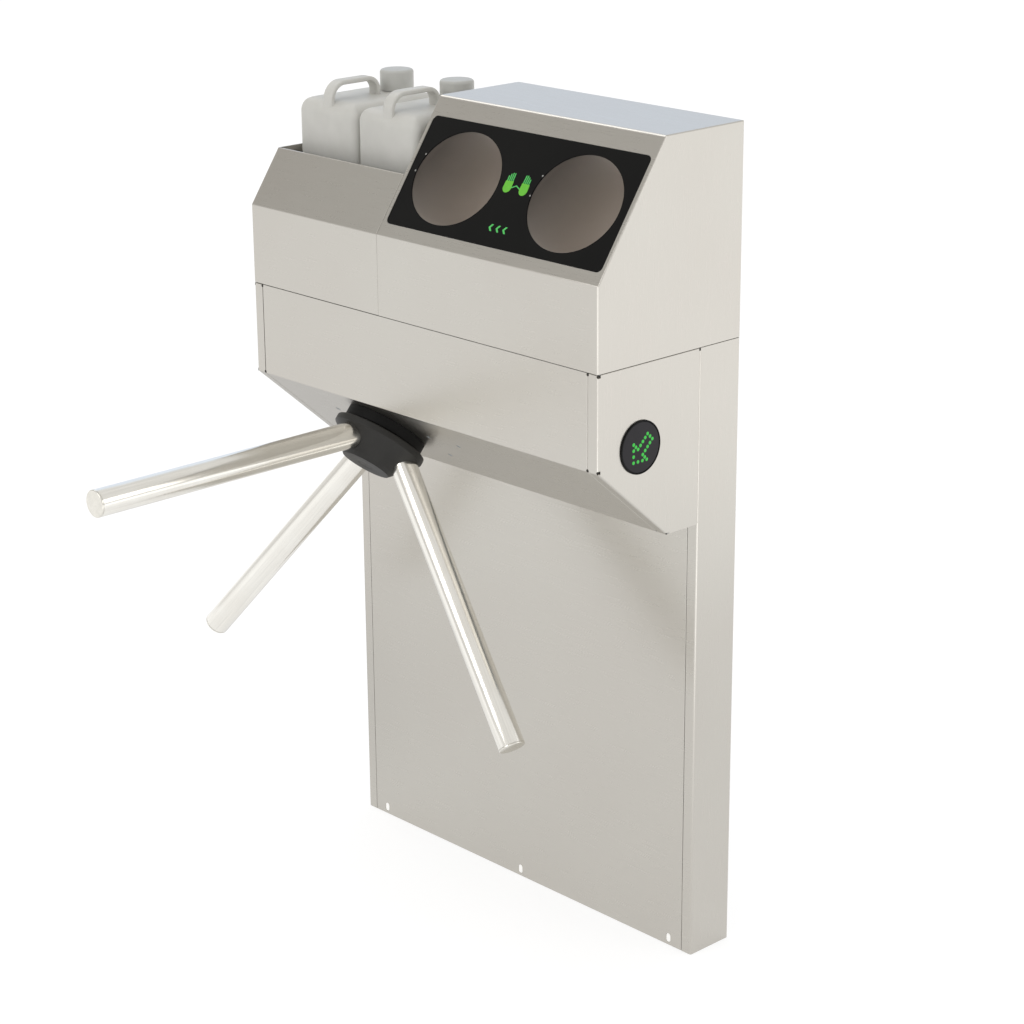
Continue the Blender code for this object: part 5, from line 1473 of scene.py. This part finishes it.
    def _cap(self, side: Side) -> None:
        """Makes the screw cap with its soft upper edge."""
        low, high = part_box("cap_" + side.word)
        centre = ((low.x + high.x) / 2, (low.y + high.y) / 2, 0)
        inner = self.cap_radius - self.cap_wall
        outline = [
            (0, high.z), (self.cap_radius, high.z), (self.cap_radius, low.z), (inner, low.z),
            (inner, high.z - self.cap_top), (0, high.z - self.cap_top)]
        profile = rounded_corners(outline, (0, *self.cap_rounds, 0), steps=8, closed=False)
        mesh = lathe("cap", profile, TUBE_STEPS, False)
        cap = make_piece(
            "screw_cap_" + side.word, mesh, GREY_POLYPROPYLENE, f"cap_{side.word}_body",
            Matrix.Translation(centre))
        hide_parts("cap_" + side.word)


@dataclass
class FootSlots:
    """White plugs in the slots at the pedestal's foot, with a faint glow: painted light that stands for the
    bright floor seen through the slots.
    """

    places: tuple[float, ...] = (-343.5 * MM, 0.0, 343.5 * MM)
    wide: float = 9.5 * MM
    tall: float = 15.5 * MM
    rise: float = 12.5 * MM
    fit: float = 0.4 * MM
    sunk: float = 0.35 * MM
    back: float = 3.0 * MM
    edge: float = 0.4 * MM
    end_round: float = 0.98

    def build(self, lines: SheetLines) -> None:
        """Makes the plugs."""
        half_wide, half_tall = self.wide / 2 - self.fit, self.tall / 2 - self.fit
        outline = rounded_corners(SQUARE * (half_wide, half_tall), [half_wide * self.end_round] * 4, steps=8)
        meshes = []
        for x in self.places:
            plug = flat_slab("plug", outline, -self.back, -self.sunk)
            plug.transform(place_matrix((x, lines.pedestal_y, self.rise), RIGHT, UP))
            meshes.append(plug)
        # Painted light: the plugs are white and glow faintly, for the floor seen through the slots.
        plugs = make_piece("slot_plugs", join_meshes("plugs", meshes), SLOT_PAINTED_LIGHT, STAND)
        bevelled(plugs, self.edge, segments=2)


@dataclass(frozen=True)
class SkyZone:
    """A soft patch of the sky with its own colour and level.

    towards is where its middle lies, and the two angles in degrees say where it is full and where it ends.
    """

    towards: Point
    full: float
    end: float
    colour: str
    level: float


@dataclass(frozen=True)
class FloorPatch:
    """A round patch of the floor that adds its own level to what metal mirrors.

    reach says at which distances from its middle the first and the second level hold.
    """

    middle: tuple[float, float]
    reach: tuple[float, float]
    levels: tuple[float, float]


@dataclass
class Studio:
    """Plain soft light, a white floor and a pale sky with zones that the metal mirrors."""

    floor_reach: float = 40.0
    floor_height: float = -0.5 * MM
    floor_greys: tuple[float, float] = (0.8, 0.34)
    floor_seen: float = 0.745
    side_direction: Point = (0.707, 0.707, 0)
    side_reach: tuple[float, float] = (1.9, 3.0)
    side_gain: float = 0.24
    patches: tuple[FloorPatch, ...] = (
        FloorPatch((0.0, 0.0), (1.3, 2.6), (0.70, 0.78)),
        FloorPatch((2.2, -2.0), (2.2, 0.2), (0.0, 1.5)),
        FloorPatch((-1.25, 0.1), (1.0, 0.2), (0.0, -0.26)),
    )
    key_power: float = 60.0
    key_place: Point = (-1.2, -5.2, 3.4)
    key_size: float = 2.6
    side_power: float = 22.0
    side_place: Point = (4.6, 1.8, 2.6)
    side_size: float = 2.2
    aim: Point = (0.0, -0.1, 0.8)
    sky: str = "F0EFED"
    sky_level: float = 0.95
    zones: tuple[SkyZone, ...] = (
        SkyZone((-0.69, -0.53, 0.49), 12, 38, "F4F2EE", 0.62),
        SkyZone((-0.69, 0.65, 0.32), 12, 34, "D9E2EF", 1.25),
        SkyZone((-0.69, 0.10, 0.72), 5, 15, "FFFFFF", 2.6),
    )

    def build(self) -> None:
        """Makes the world, the floor and the lamps."""
        self._world()
        self._floor()
        self._lamp("key_softbox", self.key_place, self.key_size, self.key_power)
        self._lamp("side_softbox", self.side_place, self.side_size, self.side_power)

    def _world(self) -> None:
        """Makes the sky: one pale colour, into which each zone is blended by its direction."""
        world = bpy.data.worlds.new("pale_studio")
        bpy.context.scene.world = world
        world.use_nodes = True
        tree = world.node_tree
        tree.nodes.clear()
        toward = add_node(tree, "TexCoord").outputs["Generated"]
        colour: object = self._shade(self.sky, self.sky_level)
        for zone in self.zones:
            middle = tuple(Vector(zone.towards).normalized())
            agree = add_node(tree, "VectorMath", {0: toward, 1: middle}, operation="DOT_PRODUCT")
            reach = [math.cos(math.radians(angle)) for angle in (zone.end, zone.full)]
            inputs = dict(zip(RANGE_INPUTS, (agree.outputs["Value"], *reach)))
            share = add_node(tree, "MapRange", inputs, interpolation_type="SMOOTHSTEP")
            inputs = {0: share.outputs[0], 6: colour, 7: self._shade(zone.colour, zone.level)}
            colour = add_node(tree, "Mix", inputs, data_type="RGBA").outputs[2]
        light = add_node(tree, "Background", {"Strength": 1.0, "Color": colour})
        add_node(tree, "OutputWorld", {0: light.outputs[0]})

    @staticmethod
    def _shade(colour: str, level: float) -> tuple[float, ...]:
        """Returns a colour at a level of light."""
        return (*(value * level for value in linear(colour)[:3]), 1.0)

    def _floor(self) -> None:
        """Makes the white floor, which keeps the object's soft shadow."""
        mesh = bpy.data.meshes.new("studio_floor")
        corners = [(x, y, 0) for x, y in (SQUARE * self.floor_reach).tolist()]
        mesh.from_pydata(corners, [], [(0, 1, 2, 3)])
        floor = bpy.data.objects.new("studio_floor", mesh)
        bpy.context.scene.collection.objects.link(floor)
        floor.location.z = self.floor_height
        made = bpy.data.materials.new("studio_floor")
        made.use_nodes = True
        tree = made.node_tree
        tree.nodes.clear()
        path = add_node(tree, "LightPath").outputs
        seen = path["Is Camera Ray"]
        for ray in ("Is Glossy Ray", "Is Transmission Ray"):
            seen = add_node(tree, "Math", {0: seen, 1: path[ray]}, operation="MAXIMUM").outputs[0]
        dull, shade = (
            add_node(tree, "BsdfDiffuse", {"Color": (grey, grey, grey, 1)}).outputs[0]
            for grey in self.floor_greys)
        level = add_node(tree, "Mix", {
            0: path["Is Camera Ray"], 2: self._floor_level(tree), 3: self.floor_seen}, data_type="FLOAT")
        white = add_node(tree, "Emission", {"Strength": level.outputs[0]})
        shown = add_node(tree, "AddShader", {0: shade, 1: white.outputs[0]})
        mix = add_node(tree, "MixShader", {0: seen, 1: dull, 2: shown.outputs[0]})
        add_node(tree, "OutputMaterial", {0: mix.outputs[0]})
        mesh.materials.append(made)

    def _floor_level(self, tree: Tree) -> Socket:
        """Returns the white that metal mirrors: less beside the object, more in front and far right."""
        place = add_node(tree, "TexCoord").outputs["Object"]
        parts = [("DOT_PRODUCT", self.side_direction, self.side_reach, (0.0, self.side_gain))]
        parts += [("DISTANCE", (*patch.middle, 0), patch.reach, patch.levels) for patch in self.patches]
        total: object = 0.0
        for operation, point, reach, levels in parts:
            away = add_node(tree, "VectorMath", {0: place, 1: point}, operation=operation).outputs["Value"]
            inputs = dict(zip(RANGE_INPUTS, (away, *reach, *levels)))
            part = add_node(tree, "MapRange", inputs, interpolation_type="SMOOTHSTEP").outputs[0]
            total = add_node(tree, "Math", {0: total, 1: part}, operation="ADD").outputs[0]
        return total

    def _lamp(self, name: str, place: Point, size: float, power: float) -> None:
        """Hangs a square softbox that faces the object."""
        light = bpy.data.lights.new(name, "AREA")
        light.size = size
        light.energy = power
        lamp = bpy.data.objects.new(name, light)
        bpy.context.scene.collection.objects.link(lamp)
        lamp.location = place
        lamp.rotation_euler = (Vector(self.aim) - Vector(place)).to_track_quat("-Z", "Y").to_euler()


@dataclass
class PhotoCamera:
    """The camera that took the photograph, as its lines and known shapes give it."""

    place: Point = (2.957, -2.841, 2.033)
    yaw: float = 46.727
    pitch: float = 18.763
    roll: float = -0.421
    lens: float = 93.56
    sensor: float = 36.0
    far_clip: float = 200.0

    def build(self) -> None:
        """Makes the camera and gives it to the scene."""
        yaw, pitch, roll = (math.radians(value) for value in (self.yaw, self.pitch, self.roll))
        level = math.cos(pitch)
        forward = Vector((-math.sin(yaw) * level, math.cos(yaw) * level, -math.sin(pitch)))
        right = Vector((math.cos(yaw), math.sin(yaw), 0))
        up = right.cross(forward)
        turned_right = right * math.cos(roll) + up * math.sin(roll)
        turned_up = up * math.cos(roll) - right * math.sin(roll)
        data = bpy.data.cameras.new("photo_camera")
        data.lens = self.lens
        data.sensor_width = self.sensor
        data.clip_end = self.far_clip
        camera = bpy.data.objects.new("photo_camera", data)
        bpy.context.scene.collection.objects.link(camera)
        camera.matrix_world = place_matrix(self.place, turned_right, turned_up)
        bpy.context.scene.camera = camera


def dress_nodes() -> None:
    """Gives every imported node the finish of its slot."""
    for name, piece in FRAME["nodes"].items():
        piece.data.materials.clear()
        piece.data.materials.append(SLOT_FINISH[slot_of(name)].material())


def main() -> None:
    """Builds the camera, the light and every piece in order."""
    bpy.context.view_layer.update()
    PhotoCamera().build()
    Studio().build()
    dress_nodes()
    work, lines = SheetWork(), SheetLines()
    places = Places(lines)
    Pedestal().build(work, lines)
    FootSlots().build(lines)
    Housing().build(work, lines, places)
    for side in Side:
        Indicator().build(lines, side)
    Tripod().build(places)
    Console().build(work, lines, places)
    Bay().build(work, lines)
    for side in Side:
        Canister().build(side)


if __name__ == "__main__":
    logging.basicConfig(level=logging.INFO, format="%(name)s: %(message)s")
    bpy.context.scene.view_settings.view_transform = "Standard"
    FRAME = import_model()
    main()
